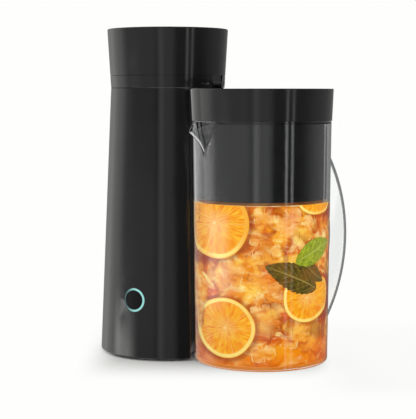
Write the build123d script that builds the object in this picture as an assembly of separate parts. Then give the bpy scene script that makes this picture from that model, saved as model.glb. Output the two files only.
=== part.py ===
from build123d import *

import math
import os

# Iced tea maker: a tapered brewing tower with a hinged flared cap, and a clear pitcher
# docked in the tower's hollow side.
#
# Millimetres, +Z up. The front, where the power button is, faces -Y. The pitcher stands on
# the +X side of the tower. Everything is drawn about the tower's axis and moved at the end,
# so that the origin is the centre of the footprint on the worktop.
#
# How it works: water in the tank runs through a one-way valve into the heater, boils up the
# riser hose to the outlet duct in the collar, and drips on to the dished pitcher lid. The
# lid's shower holes let it into the brew basket, which turns with the lid: a quarter turn
# brings the basket's pour window round to the pitcher's beak. The basket hangs under the lid by
# a bayonet and twists off for filling.

# ---------------- driving dimensions: tower
machine_height = 312.0        # top of the cap
neck_z = 256.0                # seam between the tower shell and the collar
collar_height = 11.4          # up to the seam between the collar and the cap
base_radius = 66.4            # tower shell at the worktop
tower_taper = 11.4            # how much narrower the tower is at the neck
head_flare = 3.3              # how much the collar and cap widen again up to the top
shell_wall = 2.4
corner_round = 1.0            # edge where the shell meets the dock's hollow
foot_height = 2.0             # gap between the worktop and the shell
seam_gap = 0.3                # between the cap and the collar
spigot_depth = 6.0            # the collar's skirt inside the shell
spigot_wall = 1.6
fit_gap = 0.25                # between mouldings that slot together

# ---------------- driving dimensions: dock and pitcher
dock_depth = 19.65            # how far the lid stands in under the tower's neck
dock_clearance = 1.0          # between the pitcher lid and the hollow side of the tower
lid_overhang = 0.25           # lid's top edge beyond the tower's footprint
lid_taper = 1.25              # how much narrower the lid's skirt is at its lower edge
lid_head_gap = 1.1            # lid to the collar above it
lid_height = 29.6
lid_skirt_gap = 0.4           # lid skirt to pitcher neck
lid_plate = 2.2
lid_rim_width = 2.6
lid_dish_depth = 1.3          # rim down to the dish's edge
lid_dish_fall = 2.8           # dish's edge down to its middle
basket_ring_drop = 9.0        # ring under the lid that grips the basket
ring_wall = 1.8
ring_slack = 0.1              # between that ring and the basket's rim
seat_gap = 0.05               # between the lid's dish and what sits under it
shower_radius = 16.0          # flat middle of the dish
shower_hole_radius = 1.5
shower_rings = ((0.0, 1), (6.0, 6), (12.0, 12))   # ring radius, holes on it
shoulder_inset = 0.5          # pitcher's shoulder inside the lid's lower edge
shoulder_gap = 0.7            # pitcher's shoulder below the lid's lower edge
pitcher_taper = 2.2           # how much narrower the pitcher is at its base
pitcher_wall = 2.6
pitcher_floor = 4.0
pitcher_foot_recess = 1.2
pitcher_foot_width = 7.0
pitcher_base_round = 3.0
neck_inset = 1.5              # pitcher's neck inside its shoulder
neck_wall = 1.8
neck_height = 24.2
gasket_thickness = 2.0
spout_angle = 241.0           # about the pitcher axis, from +X; the handle is opposite
spout_reach = 16.3            # beak's tip beyond the pitcher's base
spout_drop = 9.0              # beak's tip below the shoulder
spout_depth = 31.6            # beak's foot below the shoulder
spout_half_width = 20.0       # at its root, which lies spout_root_depth inside the base radius
spout_root_depth = 4.0
spout_foot_share = 0.45       # width at the beak's foot, as a share of that at the lip
spout_swell = 1.9             # power that sets how suddenly the beak swells towards the lip
spout_tip_round = 2.6
handle_width = 24.0
handle_thickness = 3.6
handle_stand = 30.0           # outside of the handle beyond the pitcher's base
handle_arc_radius = 153.6
handle_lift = 1.7             # handle's middle above the middle of the pitcher's wall
handle_root_depth = 4.0       # how far its ends start inside the base radius
handle_edge_round = 1.4

# ---------------- driving dimensions: brew basket
basket_gap = 0.4              # basket to pitcher neck
basket_wall = 1.4
basket_floor = 1.8
basket_hang = 101.9           # lid's top down to the basket's underside
basket_draft = 0.5            # how much narrower the basket is at its floor
basket_rim_height = 12.0      # straight part at the top
lug_count = 3                 # bayonet that holds the basket under the lid
lug_width = 4.0
lug_height = 2.0
lug_drop = 6.0                # lugs' middle below the basket's top edge
lug_reach = 1.2               # lugs beyond their ring, into the basket's slots
lug_gap = 0.3
basket_twist = 25.0           # turn that frees the basket from the lid
window_turn = 90.0            # basket's pour window stands this far before the beak while brewing
window_slots = 7
window_slot_width = 2.2
window_slot_pitch = 4.2
window_drop = 3.6             # window's top below the shoulder
window_height = 29.0
floor_slot_count = 16
floor_slot_width = 2.6
floor_slot_inner = 14.0
floor_slot_margin = 11.2      # slots' outer ends to the basket's outside
screen_margin = 7.2           # screen's edge to the basket's outside
screen_thickness = 0.5
screen_gap_size = 4.4
screen_pitch = 7.2

# ---------------- driving dimensions: inside the tower
tank_inset = 5.4              # tank inside the neck's radius
tank_wall = 2.0
tank_bottom_z = 108.0
tank_gap = 1.0                # tank to the dock panel
tank_flange = 2.6
tank_flange_thickness = 2.0
tank_corner = 6.0
seal_thickness = 0.8
hose_radius = 5.0
hose_bore_radius = 3.5
hose_gap = 1.4                # riser hose to the dock panel
stub_radius = 3.4             # every pipe stub that a hose slips on
stub_bore_radius = 2.2
groove_radius = 6.5           # room for the riser hose in the tank's side
nozzle_inset = 13.0           # drip nozzle inside the neck's radius
nozzle_radius = 3.6
nozzle_bore_radius = 2.4
duct_width = 11.0
duct_height = 6.0
plate_thickness = 2.4         # base plate
plate_lip_height = 5.0
plate_lip_wall = 1.6
foot_radius = 7.0
foot_thickness = 3.0
foot_inset = 16.4             # centres of the feet inside the base radius
foot_angles = (65, 125, -125, -65)
boss_radius = 4.2
boss_height = 20.0
boss_angles = (75, 152, -152, -75)
screw_radius = 1.5
screw_head_radius = 3.0
screw_head_height = 1.2
screw_thread_gap = 0.05
heater_x = -20.0              # middle of the heater's bend
heater_inset = 41.4           # heater's legs inside the base radius
hose_run = 15.0               # heater's pipe stubs to the axis of the valve above
heater_width = 18.0
heater_height = 13.0
heater_bottom_z = 16.0
water_pipe_radius = 5.5
pipe_sunk = 2.5               # how far the water pipe is sunk into the casting
heater_stub_length = 12.0
bracket_thickness = 1.0
bracket_length = 42.0
bracket_window = (16.0, 24.0)
bracket_screw_reach = 16.0    # screws before and behind the bracket's middle
valve_clearance = 9.0         # valve's axis to the dock panel
valve_drop = 30.0             # valve's underside below the tank
riser_turn = (24.0, 50.0)     # heights over the heater's pipe between which the riser leans in
strap_width = 12.0
strap_gap = 1.5               # casting to the outside of the strap
strap_foot = 6.0
fuse_radius = 2.6

# ---------------- driving dimensions: hinge, cap liner, button and cord inlet
hinge_inset = 3.2             # hinge pin inside the neck's radius
hinge_rise = 4.0              # hinge pin above the neck
hinge_pin_radius = 1.6
hinge_running_gap = 0.05
knuckle_radius = 3.2
knuckle_clearance = 0.8       # knuckle to the collar's notch
knuckle_half = 9.0            # half the length of the cap's knuckle
web_depth = 2.2               # how far the cap's hinge web reaches beyond the pin
web_rise = 6.0                # and up into the cap
ear_length = 8.2              # each of the collar's two ears
ear_gap = 0.4
pin_in_ear = 5.4              # how far the pin runs into each ear
liner_rise = 0.8              # liner above the cap's rim
liner_thickness = 1.6
liner_lip = 3.0
liner_lip_inset = 11.4        # drip lip inside the neck's radius
button_z = 56.9
button_radius = 9.1
button_gap = 0.2
light_ring_outer = 11.0
button_travel = 1.2
button_flange = 1.4
board_width = 44.0
board_height = 40.0
board_thickness = 1.6
gland_z = 20.0
gland_bore_radius = 3.6
gland_neck_radius = 5.6
gland_flange_radius = 7.6
gland_flange = 1.5

# ---------------- worked out from the sizes above
ABOVE = (Align.CENTER, Align.CENTER, Align.MIN)
neck_radius = base_radius - tower_taper
cap_top_radius = neck_radius + head_flare
cap_seam_z = neck_z + collar_height
lid_top_radius = base_radius + lid_overhang
lid_bottom_radius = lid_top_radius - lid_taper
lid_top_z = neck_z - lid_head_gap
lid_bottom_z = lid_top_z - lid_height
lid_under_z = lid_top_z - lid_dish_depth - lid_plate
dock_pitch = neck_radius + lid_top_radius - dock_depth     # tower axis to pitcher axis
dock_radius = lid_top_radius + dock_clearance
dock_panel_outer = dock_radius + shell_wall
pitcher_shoulder_radius = lid_bottom_radius - shoulder_inset
pitcher_base_radius = pitcher_shoulder_radius - pitcher_taper
shoulder_z = lid_bottom_z - shoulder_gap
neck_outer_radius = pitcher_shoulder_radius - neck_inset
neck_inner_radius = neck_outer_radius - neck_wall
lid_inner_radius = neck_outer_radius + lid_skirt_gap
neck_top_z = shoulder_z + neck_height
spout_tip_radius = pitcher_base_radius + spout_reach
spout_tip_z = shoulder_z - spout_drop
spout_foot_z = shoulder_z - spout_depth
handle_reach = pitcher_base_radius + handle_stand
handle_middle_z = shoulder_z / 2 + handle_lift
basket_radius = neck_inner_radius - basket_gap
basket_bottom_z = lid_top_z - basket_hang
window_top_z = shoulder_z - window_drop
window_bottom_z = window_top_z - window_height
floor_slot_outer = basket_radius - floor_slot_margin
screen_radius = basket_radius - screen_margin
tank_radius = neck_radius - tank_inset
nozzle_x = neck_radius - nozzle_inset
foot_ring_radius = base_radius - foot_inset
heater_bend_radius = base_radius - heater_inset
valve_x = dock_pitch - math.sqrt((dock_panel_outer + valve_clearance) ** 2 - heater_bend_radius ** 2)
heater_leg = valve_x - hose_run - heater_stub_length - heater_x
hinge_x = neck_radius - hinge_inset
hinge_z = neck_z + hinge_rise
liner_lip_radius = neck_radius - liner_lip_inset
riser_x = dock_pitch - dock_panel_outer - hose_gap - hose_radius
collar_floor_top = neck_z + shell_wall
plate_top_z = foot_height + plate_thickness
pipe_z = heater_bottom_z + heater_height + water_pipe_radius - pipe_sunk
handle_angle = spout_angle - 180.0


def tower_radius(z):
    """Outer radius of the tower shell at height z: a straight taper from the worktop to the neck."""
    return base_radius + (neck_radius - base_radius) * z / neck_z


def head_radius(z):
    """Outer radius of the collar and cap at height z: a straight flare from the neck to the top."""
    return neck_radius + (cap_top_radius - neck_radius) * (z - neck_z) / (machine_height - neck_z)


def pitcher_radius(z):
    """Outer radius of the pitcher's wall at height z, below its shoulder."""
    return pitcher_base_radius + (pitcher_shoulder_radius - pitcher_base_radius) * z / shoulder_z


def taper(radius_at, offset, low, high):
    """Solid of revolution between two heights whose radius follows radius_at, grown by offset."""
    solid = Cone(radius_at(low) + offset, radius_at(high) + offset, high - low, align=ABOVE)
    return Pos(0, 0, low) * solid


def pillar(x, y, low, high, radius):
    """Upright cylinder."""
    return Pos(x, y, low) * Cylinder(radius, high - low, align=ABOVE)


def tube(x, y, low, high, radius, bore):
    """Upright tube."""
    return pillar(x, y, low, high, radius) - pillar(x, y, low, high, bore)


def dock_cylinder(radius, low, high):
    """Upright cylinder on the pitcher's axis."""
    return pillar(dock_pitch, 0, low, high, radius)


def along_y(x, y_low, y_high, z, radius):
    """Cylinder along Y."""
    return Pos(x, y_low, z) * Rot(-90, 0, 0) * Cylinder(radius, y_high - y_low, align=ABOVE)


def block(x_low, x_high, y_low, y_high, z_low, z_high):
    """Box given by its limits."""
    size = (x_high - x_low, y_high - y_low, z_high - z_low)
    return Pos((x_low + x_high) / 2, (y_low + y_high) / 2, (z_low + z_high) / 2) * Box(*size)


def polar(radius, angle):
    """Point at a radius and an angle in degrees about the tower axis."""
    return radius * math.cos(math.radians(angle)), radius * math.sin(math.radians(angle))


# ---------------- tower shell, dock panel and base
def boss_places():
    """Centres of the four screw bosses, each half sunk in the shell's wall."""
    reach = tower_radius(plate_top_z) - shell_wall - boss_radius + 1.2
    return [polar(reach, angle) for angle in boss_angles]


def tower_shell():
    """C-shaped tapered shell, open at the top, the bottom and the dock side."""
    high = neck_z
    body = taper(tower_radius, 0, foot_height, high) - taper(tower_radius, -shell_wall, foot_height, high)
    body -= dock_cylinder(dock_radius, 0, high + 1)
    corners = [e for e in body.edges() if e.length > 0.9 * (high - foot_height) and is_dock_corner(e)]
    body = fillet(corners, corner_round)
    for x, y in boss_places():
        boss = pillar(x, y, plate_top_z, plate_top_z + boss_height, boss_radius)
        boss &= taper(tower_radius, -shell_wall / 3, foot_height, high)
        body = body + boss - pillar(x, y, plate_top_z, plate_top_z + boss_height - 2, screw_radius)
    body -= along_y(0, -base_radius - 1, 0, button_z, light_ring_outer + fit_gap)
    body -= along_y(0, 0, base_radius + 1, gland_z, gland_neck_radius)
    return body


def is_dock_corner(edge):
    """True for the two outer long edges that stand in the dock's opening."""
    middle = edge @ 0.5
    z = middle.Z
    return abs(math.hypot(middle.X, middle.Y) - tower_radius(z)) < 0.05


def dock_panel():
    """Concave panel that closes the shell's open side; the pitcher stands in its hollow."""
    panel = dock_cylinder(dock_panel_outer, foot_height, neck_z) - dock_cylinder(dock_radius, 0, neck_z + 1)
    return panel & taper(tower_radius, -shell_wall - fit_gap, foot_height, neck_z)


def inner_outline(offset, low, high):
    """The room inside the shell and the dock panel, shrunk by offset."""
    room = taper(tower_radius, -shell_wall - offset, low, high)
    return room - dock_cylinder(dock_panel_outer + offset, low - 1, high + 1)


def base_plate():
    """Bottom cover: a plate with a lip, vent slots, foot sockets, screw holes and posts."""
    lip_top = plate_top_z + plate_lip_height
    plate = inner_outline(fit_gap, foot_height, plate_top_z)
    lip = inner_outline(fit_gap, plate_top_z, lip_top)
    lip -= inner_outline(fit_gap + plate_lip_wall, plate_top_z, lip_top)
    for x, y in boss_places():
        lip -= pillar(x, y, plate_top_z, lip_top, boss_radius + fit_gap)
    plate = plate + lip
    for x, y in boss_places():
        plate -= pillar(x, y, foot_height, plate_top_z, screw_radius + fit_gap)
        plate -= pillar(x, y, foot_height, foot_height + screw_head_height, screw_head_radius + fit_gap)
    for angle in foot_angles:
        x, y = polar(foot_ring_radius, angle)
        plate -= pillar(x, y, foot_height, foot_thickness, foot_radius)
    for row in range(-2, 3):
        slot = extrude(SlotOverall(30, 3), amount=plate_thickness)
        plate -= Pos(heater_x, row * 9.0, foot_height) * slot
    for x, y in bracket_places():
        post = tube(x, y, plate_top_z, heater_bottom_z - bracket_thickness, 3.5, screw_radius)
        plate += post
    for x, y in carrier_places():
        plate += tube(x, y, plate_top_z, plate_top_z + 3, 3.5, screw_radius)
    return plate


def rubber_feet():
    """Four pads pressed into the base plate's sockets."""
    pads = []
    for angle in foot_angles:
        x, y = polar(foot_ring_radius, angle)
        pad = pillar(x, y, 0, foot_thickness, foot_radius)
        pads.append(fillet(pad.edges().group_by(Axis.Z)[0], 0.8))
    return pads


def screw(x, y, head_low, length, up=True):
    """Pan-head screw; up means that its head is at the bottom and its shank points up."""
    head_top = head_low + screw_head_height
    head = pillar(x, y, head_low, head_top, screw_head_radius)
    shank_radius = screw_radius - screw_thread_gap
    slot = block(x - 2, x + 2, y - 0.4, y + 0.4, 0, 0.5)
    if up:
        shank = pillar(x, y, head_top, head_top + length, shank_radius)
        return head + shank - Pos(0, 0, head_low) * slot
    shank = pillar(x, y, head_low - length, head_low, shank_radius)
    return head + shank - Pos(0, 0, head_top - 0.5) * slot


def base_screws():
    """Four screws that hold the base plate to the shell's bosses."""
    return [screw(x, y, foot_height, 12) for x, y in boss_places()]


def cord_gland():
    """Rubber grommet in the back of the shell; its bore is the way in for a mains lead."""
    low, high = gland_z - 12, gland_z + 12
    wall = taper(tower_radius, 0, low, high)
    inside = taper(tower_radius, -shell_wall, low, high)
    outer = along_y(0, 0, base_radius + 4, gland_z, gland_flange_radius)
    outer &= taper(tower_radius, gland_flange, low, high) - wall
    neck = along_y(0, 0, base_radius + 4, gland_z, gland_neck_radius) & (wall - inside)
    inner = along_y(0, 0, base_radius + 4, gland_z, gland_flange_radius)
    inner &= inside - taper(tower_radius, -shell_wall - gland_flange, low, high)
    return outer + neck + inner - along_y(0, 0, base_radius + 4, gland_z, gland_bore_radius)


# ---------------- water tank and collar
def tank_section(offset):
    """Plan of the tank: a disc less the dock's hollow and the riser's groove, grown by offset."""
    plan = Circle(tank_radius) - Pos(dock_pitch, 0) * Circle(dock_panel_outer + tank_gap)
    plan = fillet(plan.vertices(), tank_corner)
    groove = Pos(riser_x, 0) * Circle(groove_radius)
    groove += Pos(riser_x + groove_radius, 0) * Rectangle(2 * groove_radius, 2 * groove_radius)
    plan = plan - groove
    if offset:
        plan = offset_plan(plan, offset)
    return plan


def offset_plan(plan, amount):
    """The plan grown or shrunk all round."""
    return offset(plan, amount=amount, kind=Kind.INTERSECTION)


def tank_outlet():
    """Plan place of the tank's outlet and the valve under it, just clear of the dock panel."""
    return valve_x, heater_bend_radius


def reservoir_tank():
    """Water tank that hangs by its flange in the collar's floor."""
    flange_low = collar_floor_top + seal_thickness
    mouth = flange_low + tank_flange_thickness
    body = Pos(0, 0, tank_bottom_z) * extrude(tank_section(0), amount=mouth - tank_bottom_z)
    cavity = extrude(tank_section(-tank_wall), amount=mouth - tank_bottom_z)
    body -= Pos(0, 0, tank_bottom_z + tank_wall) * cavity
    brim = tank_section(tank_flange) - tank_section(-tank_wall / 2)
    flange = Pos(0, 0, flange_low) * extrude(brim, amount=tank_flange_thickness)
    flange -= duct_footprint(flange_low, mouth, duct_width / 2 + fit_gap)
    x, y = tank_outlet()
    body = body + flange + pillar(x, y, tank_bottom_z - 12, tank_bottom_z, stub_radius)
    return body - pillar(x, y, tank_bottom_z - 12, tank_bottom_z + tank_wall, stub_bore_radius)


def tank_seal():
    """Flat silicone gasket between the tank's flange and the collar's floor."""
    low, high = collar_floor_top, collar_floor_top + seal_thickness
    ring = extrude(tank_section(tank_flange) - tank_section(fit_gap), amount=seal_thickness)
    return Pos(0, 0, low) * ring - duct_footprint(low, high, duct_width / 2 + fit_gap)


def duct_footprint(low, high, radius):
    """Slot-shaped column over the riser and the nozzle."""
    plan = Pos(riser_x, 0) * Circle(radius) + Pos(nozzle_x, 0) * Circle(radius)
    plan += Pos((riser_x + nozzle_x) / 2, 0) * Rectangle(nozzle_x - riser_x, 2 * radius)
    return Pos(0, 0, low) * extrude(plan, amount=high - low)


def outlet_duct():
    """Moulded channel on the collar's floor: in from the riser hose, out through the drip nozzle."""
    low, high = collar_floor_top, collar_floor_top + duct_height
    body = duct_footprint(low, high, duct_width / 2)
    body = fillet(body.edges().group_by(Axis.Z)[-1], 1.2)
    body += pillar(riser_x, 0, neck_z - 10, low, stub_radius)
    body += pillar(nozzle_x, 0, neck_z + 0.2, low, nozzle_radius)
    body -= duct_footprint(low + 1.4, high - 1.6, nozzle_bore_radius)
    body -= pillar(riser_x, 0, neck_z - 10, low + 1.4, stub_bore_radius)
    return body - pillar(nozzle_x, 0, neck_z, low + 1.4, nozzle_bore_radius)


def hinge_ear(side):
    """One ear of the collar; side is 1 or -1 along Y."""
    near, far = knuckle_half + ear_gap, knuckle_half + ear_gap + ear_length
    low, high = min(side * near, side * far), max(side * near, side * far)
    return block(hinge_x - knuckle_radius - 1, base_radius, low, high, collar_floor_top, cap_seam_z)


def hinge_relief():
    """What the collar loses beside the hinge, so that the cap's rim swings past its top edge."""
    reach = knuckle_half + ear_gap + 2 * ear_length
    corner = block(hinge_x, base_radius, -reach, reach, hinge_z, cap_seam_z)
    return corner - along_y(hinge_x, -reach, reach, hinge_z, cap_seam_z - hinge_z)


def head_collar():
    """Ring with a floor that carries the tank, duct and hinge, and overhangs the pitcher."""
    outer = taper(head_radius, 0, neck_z, cap_seam_z)
    ring = outer - taper(head_radius, -shell_wall, neck_z, cap_seam_z)
    floor = taper(head_radius, -shell_wall / 2, neck_z, collar_floor_top)
    floor -= Pos(0, 0, neck_z) * extrude(tank_section(2 * fit_gap), amount=shell_wall)
    body = ring + floor
    for side in (1, -1):
        body += hinge_ear(side) & outer
    notch = knuckle_half + ear_gap
    notch_start = hinge_x - knuckle_radius - knuckle_clearance
    body -= block(notch_start, base_radius, -notch, notch, neck_z, cap_seam_z)
    body -= hinge_relief()
    body -= along_y(hinge_x, -base_radius, base_radius, hinge_z, hinge_pin_radius + hinge_running_gap)
    body -= pillar(riser_x, 0, neck_z, collar_floor_top, stub_radius + fit_gap)
    body -= pillar(nozzle_x, 0, neck_z, collar_floor_top, nozzle_radius + fit_gap)
    spigot = taper(tower_radius, -shell_wall - fit_gap, neck_z - spigot_depth, neck_z)
    spigot -= taper(tower_radius, -shell_wall - fit_gap - spigot_wall, neck_z - spigot_depth, neck_z)
    spigot -= dock_cylinder(dock_panel_outer + spigot_wall, 0, neck_z)
    return body + spigot


def hinge_pin():
    """Steel pin across the knuckle; its ends sit inside the collar's holes."""
    half = knuckle_half + ear_gap + pin_in_ear
    return along_y(hinge_x, -half, half, hinge_z, hinge_pin_radius)


# ---------------- cap
def tower_cap():
    """Flared cap over the tank's mouth, with the hinge knuckle on its pitcher side."""
    low = cap_seam_z + seam_gap
    outer = taper(head_radius, 0, low, machine_height)
    outer = fillet(outer.edges().group_by(Axis.Z)[-1], 1.0)
    body = outer - taper(head_radius, -shell_wall, low, machine_height - shell_wall)
    half = knuckle_half
    web = block(hinge_x - knuckle_radius, hinge_x + web_depth, -half, half, hinge_z, low + web_rise)
    knuckle = along_y(hinge_x, -half, half, hinge_z, knuckle_radius)
    bore = along_y(hinge_x, -half, half, hinge_z, hinge_pin_radius + hinge_running_gap)
    return body + web + knuckle - bore


def cap_liner():
    """Steam guard that closes the underside of the cap, with a drip lip."""
    low = cap_seam_z + seam_gap + liner_rise
    plate = taper(head_radius, -shell_wall - fit_gap, low, low + liner_thickness)
    plate += tube(0, 0, low - liner_lip, low, liner_lip_radius, liner_lip_radius - liner_thickness)
    half = knuckle_half + fit_gap
    notch_start = hinge_x - knuckle_radius - fit_gap
    return plate - block(notch_start, base_radius, -half, half, low, low + liner_thickness)


# ---------------- heater and water path
def heater_run(section):
    """A U with the given section: a half turn about the bend and two straight legs to +X."""
    plane = Plane(origin=(heater_x, 0, 0), x_dir=(0, 1, 0), z_dir=(1, 0, 0))
    ends = [plane * (Pos(side * heater_bend_radius, 0) * section) for side in (1, -1)]
    bend = revolve(ends[0], Axis((heater_x, 0, 0), (0, 0, 1)), 180)
    return bend + extrude(ends[0], amount=heater_leg) + extrude(ends[1], amount=heater_leg)


def heater_block():
    """Cast aluminium U with the water pipe on top, pipe stubs and terminal pins at its open end."""
    middle = heater_bottom_z + heater_height / 2
    casting = Pos(0, middle) * RectangleRounded(heater_width, heater_height, 3)
    body = heater_run(casting + Pos(0, pipe_z) * Circle(water_pipe_radius))
    end = heater_x + heater_leg
    for side in (1, -1):
        y = side * heater_bend_radius
        body += Pos(end, y, pipe_z) * Rot(0, 90, 0) * Cylinder(stub_radius, heater_stub_length, align=ABOVE)
        body += Pos(end, y, middle) * Rot(0, 90, 0) * Cylinder(2.0, 8, align=ABOVE)
    body -= heater_run(Pos(0, pipe_z) * Circle(stub_bore_radius))
    for side in (1, -1):
        bore = Cylinder(stub_bore_radius, heater_stub_length + 1, align=ABOVE)
        body -= Pos(end - 1, side * heater_bend_radius, pipe_z) * Rot(0, 90, 0) * bore
    return body


def bracket_places():
    """Four posts that carry the heater bracket, just outside the heater's legs."""
    side = heater_bend_radius + heater_width / 2 + screw_head_radius + 0.6
    reach = bracket_screw_reach
    return [(heater_x + dx, dy) for dx in (-reach, reach) for dy in (-side, side)]


def heater_bracket():
    """Steel tray under the heater, screwed to the base plate's posts."""
    width = 2 * (heater_bend_radius + heater_width / 2 + strap_gap + strap_foot)
    plan = RectangleRounded(bracket_length, width, 4) - RectangleRounded(*bracket_window, 3)
    plan = Pos(heater_x, 0) * plan
    low = heater_bottom_z - bracket_thickness
    tray = Pos(0, 0, low) * extrude(plan, amount=bracket_thickness)
    for x, y in bracket_places() + strap_places():
        tray -= pillar(x, y, low, heater_bottom_z, screw_radius + 0.2)
    return tray


def strap_places():
    """Holes in the strap's two feet."""
    side = heater_bend_radius + heater_width / 2 + strap_gap + strap_foot / 2 + 0.3
    return [(heater_x, -side), (heater_x, side)]


def strap_top():
    """Underside of the strap's bridge over the water pipe."""
    return pipe_z + water_pipe_radius + fit_gap


def heater_strap():
    """Bent steel strap that holds the heater down on its bracket."""
    low = heater_bottom_z + bracket_thickness / 2
    top = strap_top() + bracket_thickness / 2
    side = heater_bend_radius + heater_width / 2 + strap_gap - bracket_thickness / 2
    foot = side + bracket_thickness / 2 + strap_foot
    corners = [(-foot, low), (-side, low), (-side, top), (side, top), (side, low), (foot, low)]
    plane = Plane(origin=(heater_x - strap_width / 2, 0, 0), x_dir=(0, 1, 0), z_dir=(1, 0, 0))
    strap = extrude(plane * trace(Polyline(*corners), bracket_thickness), amount=strap_width)
    for x, y in strap_places():
        strap -= pillar(x, y, heater_bottom_z, heater_bottom_z + bracket_thickness, screw_radius + 0.2)
    return strap


def heater_screws():
    """Screws through the bracket into its posts, and through the strap's feet."""
    held = [screw(x, y, heater_bottom_z, 9, up=False) for x, y in bracket_places()]
    strap_face = heater_bottom_z + bracket_thickness
    return held + [screw(x, y, strap_face, 5, up=False) for x, y in strap_places()]


def thermostat():
    """Disc thermostat under the strap, with two blade terminals."""
    top = strap_top()
    body = pillar(heater_x, 0, top - 9, top, 8.0) + pillar(heater_x, 0, top - 3, top, 9.5)
    for side in (1, -1):
        body += block(heater_x - 3, heater_x + 3, side * 4 - 0.4, side * 4 + 0.4, top - 16, top - 9)
    return body


def thermal_fuse():
    """Axial fuse in a sleeve on top of the strap."""
    z = strap_top() + bracket_thickness + fuse_radius
    return along_y(heater_x, -9, 9, z, fuse_radius) + along_y(heater_x, -16, 16, z, 0.8)


def hose(points, radii):
    """Silicone hose along straight runs joined by tangent arcs."""
    path = FilletPolyline(*points, radius=radii)
    start = path % 0
    plane = Plane(origin=path @ 0, z_dir=start)
    return sweep(plane * (Circle(hose_radius) - Circle(hose_bore_radius)), path=path)


def inlet_hose():
    """From the one-way valve down and round to the heater's inlet."""
    x, y = tank_outlet()
    end = heater_x + heater_leg + heater_stub_length
    return hose([(end - 9, y, pipe_z), (x, y, pipe_z), (x, y, valve_low())], 14.0)


def valve_low():
    """Underside of the one-way valve's body."""
    return tank_bottom_z - valve_drop


def check_valve():
    """One-way valve pushed on the tank's outlet stub."""
    x, y = tank_outlet()
    low = valve_low()
    body = pillar(x, y, low, low + 20, 6.5) + pillar(x, y, low + 6, low + 12, 7.6)
    body += pillar(x, y, low - 10, low, stub_radius)
    body -= pillar(x, y, low + 17.5, low + 21, stub_radius + 0.1)
    body -= pillar(x, y, low - 10, low + 7, stub_bore_radius)
    return body - pillar(x, y, low + 7, low + 17.5, 3.8)


def riser_tube():
    """From the heater's outlet up through the tank's groove to the outlet duct."""
    x, y = tank_outlet()
    end = heater_x + heater_leg + heater_stub_length
    lean_low, lean_high = pipe_z + riser_turn[0], pipe_z + riser_turn[1]
    points = [
        (end - 9, -y, pipe_z), (x, -y, pipe_z), (x, -y, lean_low),
        (riser_x, 0, lean_high), (riser_x, 0, neck_z - 0.4),
    ]
    return hose(points, (14.0, 9.0, 16.0))


def hose_clips():
    """Spring clips on the four hose ends."""
    x, y = tank_outlet()
    end = heater_x + heater_leg + heater_stub_length
    clips = [clip(Pos(x, y, valve_low() - 7)), clip(Pos(riser_x, 0, neck_z - 8))]
    for side in (1, -1):
        clips.append(clip(Pos(end - 7, side * y, pipe_z) * Rot(0, 90, 0)))
    return clips


def clip(place):
    """Narrow ring that grips a hose."""
    outer = hose_radius + 1.0
    return place * (Cylinder(outer, 4, align=ABOVE) - Cylinder(hose_radius + 0.02, 4, align=ABOVE))


# ---------------- button and board
def button_stack():
    """Y of the faces behind the button, from the shell's inner face inwards."""
    inner = -tower_radius(button_z) + shell_wall
    ring_back = inner + 1.5
    flange_front = ring_back + 0.3
    flange_back = flange_front + button_flange
    stem_end = flange_back + 3.2
    board_face = stem_end + 5.7
    return inner, ring_back, flange_front, flange_back, stem_end, board_face


def light_ring():
    """Translucent ring round the button, lit from behind, held by a flange inside the wall."""
    inner, ring_back = button_stack()[:2]
    low, high = button_z - 20, button_z + 20
    bore = along_y(0, -base_radius - 2, 0, button_z, button_radius + button_gap)
    ring = along_y(0, -base_radius - 2, ring_back, button_z, light_ring_outer)
    ring &= taper(tower_radius, 0.25, low, high)
    flange = along_y(0, -base_radius - 2, ring_back, button_z, light_ring_outer + 2.0)
    flange &= taper(tower_radius, -shell_wall - 0.05, low, high)
    return ring + flange - bore


def button_cap():
    """Push cap with a flange behind the light ring and a stem that meets the switch."""
    inner, ring_back, flange_front, flange_back, stem_end, board_face = button_stack()
    low, high = button_z - 20, button_z + 20
    face = along_y(0, -base_radius - 2, flange_front, button_z, button_radius)
    face &= taper(tower_radius, -0.15, low, high)
    face -= along_y(0, -tower_radius(button_z) + 2.4, flange_front, button_z, button_radius - 1.6)
    flange = along_y(0, flange_front, flange_back, button_z, button_radius + 1.2)
    return face + flange + along_y(0, flange_back, stem_end, button_z, 2.0)


def switch_plunger():
    """Plunger of the push switch, moved by the button's stem."""
    stem_end = button_stack()[4]
    return along_y(0, stem_end, stem_end + 3.2, button_z, 1.7)


def switch_body():
    """Push switch on the board, with a bore for its plunger."""
    stem_end, board_face = button_stack()[4:]
    body = block(-4, 4, stem_end + 1.4, board_face, button_z - 4, button_z + 4)
    return body - along_y(0, stem_end + 1, stem_end + 5, button_z, 1.75)


def control_board():
    """Upright circuit board with a relay and a lamp on each side of the switch."""
    face = button_stack()[5]
    half = board_width / 2
    low = button_z - board_height / 2
    board = block(-half, half, face, face + board_thickness, low, low + board_height)
    for x, z in board_screw_places():
        board -= along_y(x, face - 1, face + 3, z, 1.3)
    board += block(-15, -5, face - 4, face, low + 4, low + 12)
    board += block(7, 14, face - 3.5, face, low + 28, low + 34)
    return board


def board_screw_places():
    """Corners of the board where it is screwed to its carrier."""
    half = board_width / 2 - 3
    rise = board_height / 2 - 3
    return [(x, button_z + z) for x in (-half, half) for z in (-rise, rise)]


def carrier_places():
    """Feet of the board carrier on the base plate."""
    y = button_stack()[5]
    return [(-24.5, y), (24.5, y)]


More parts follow.
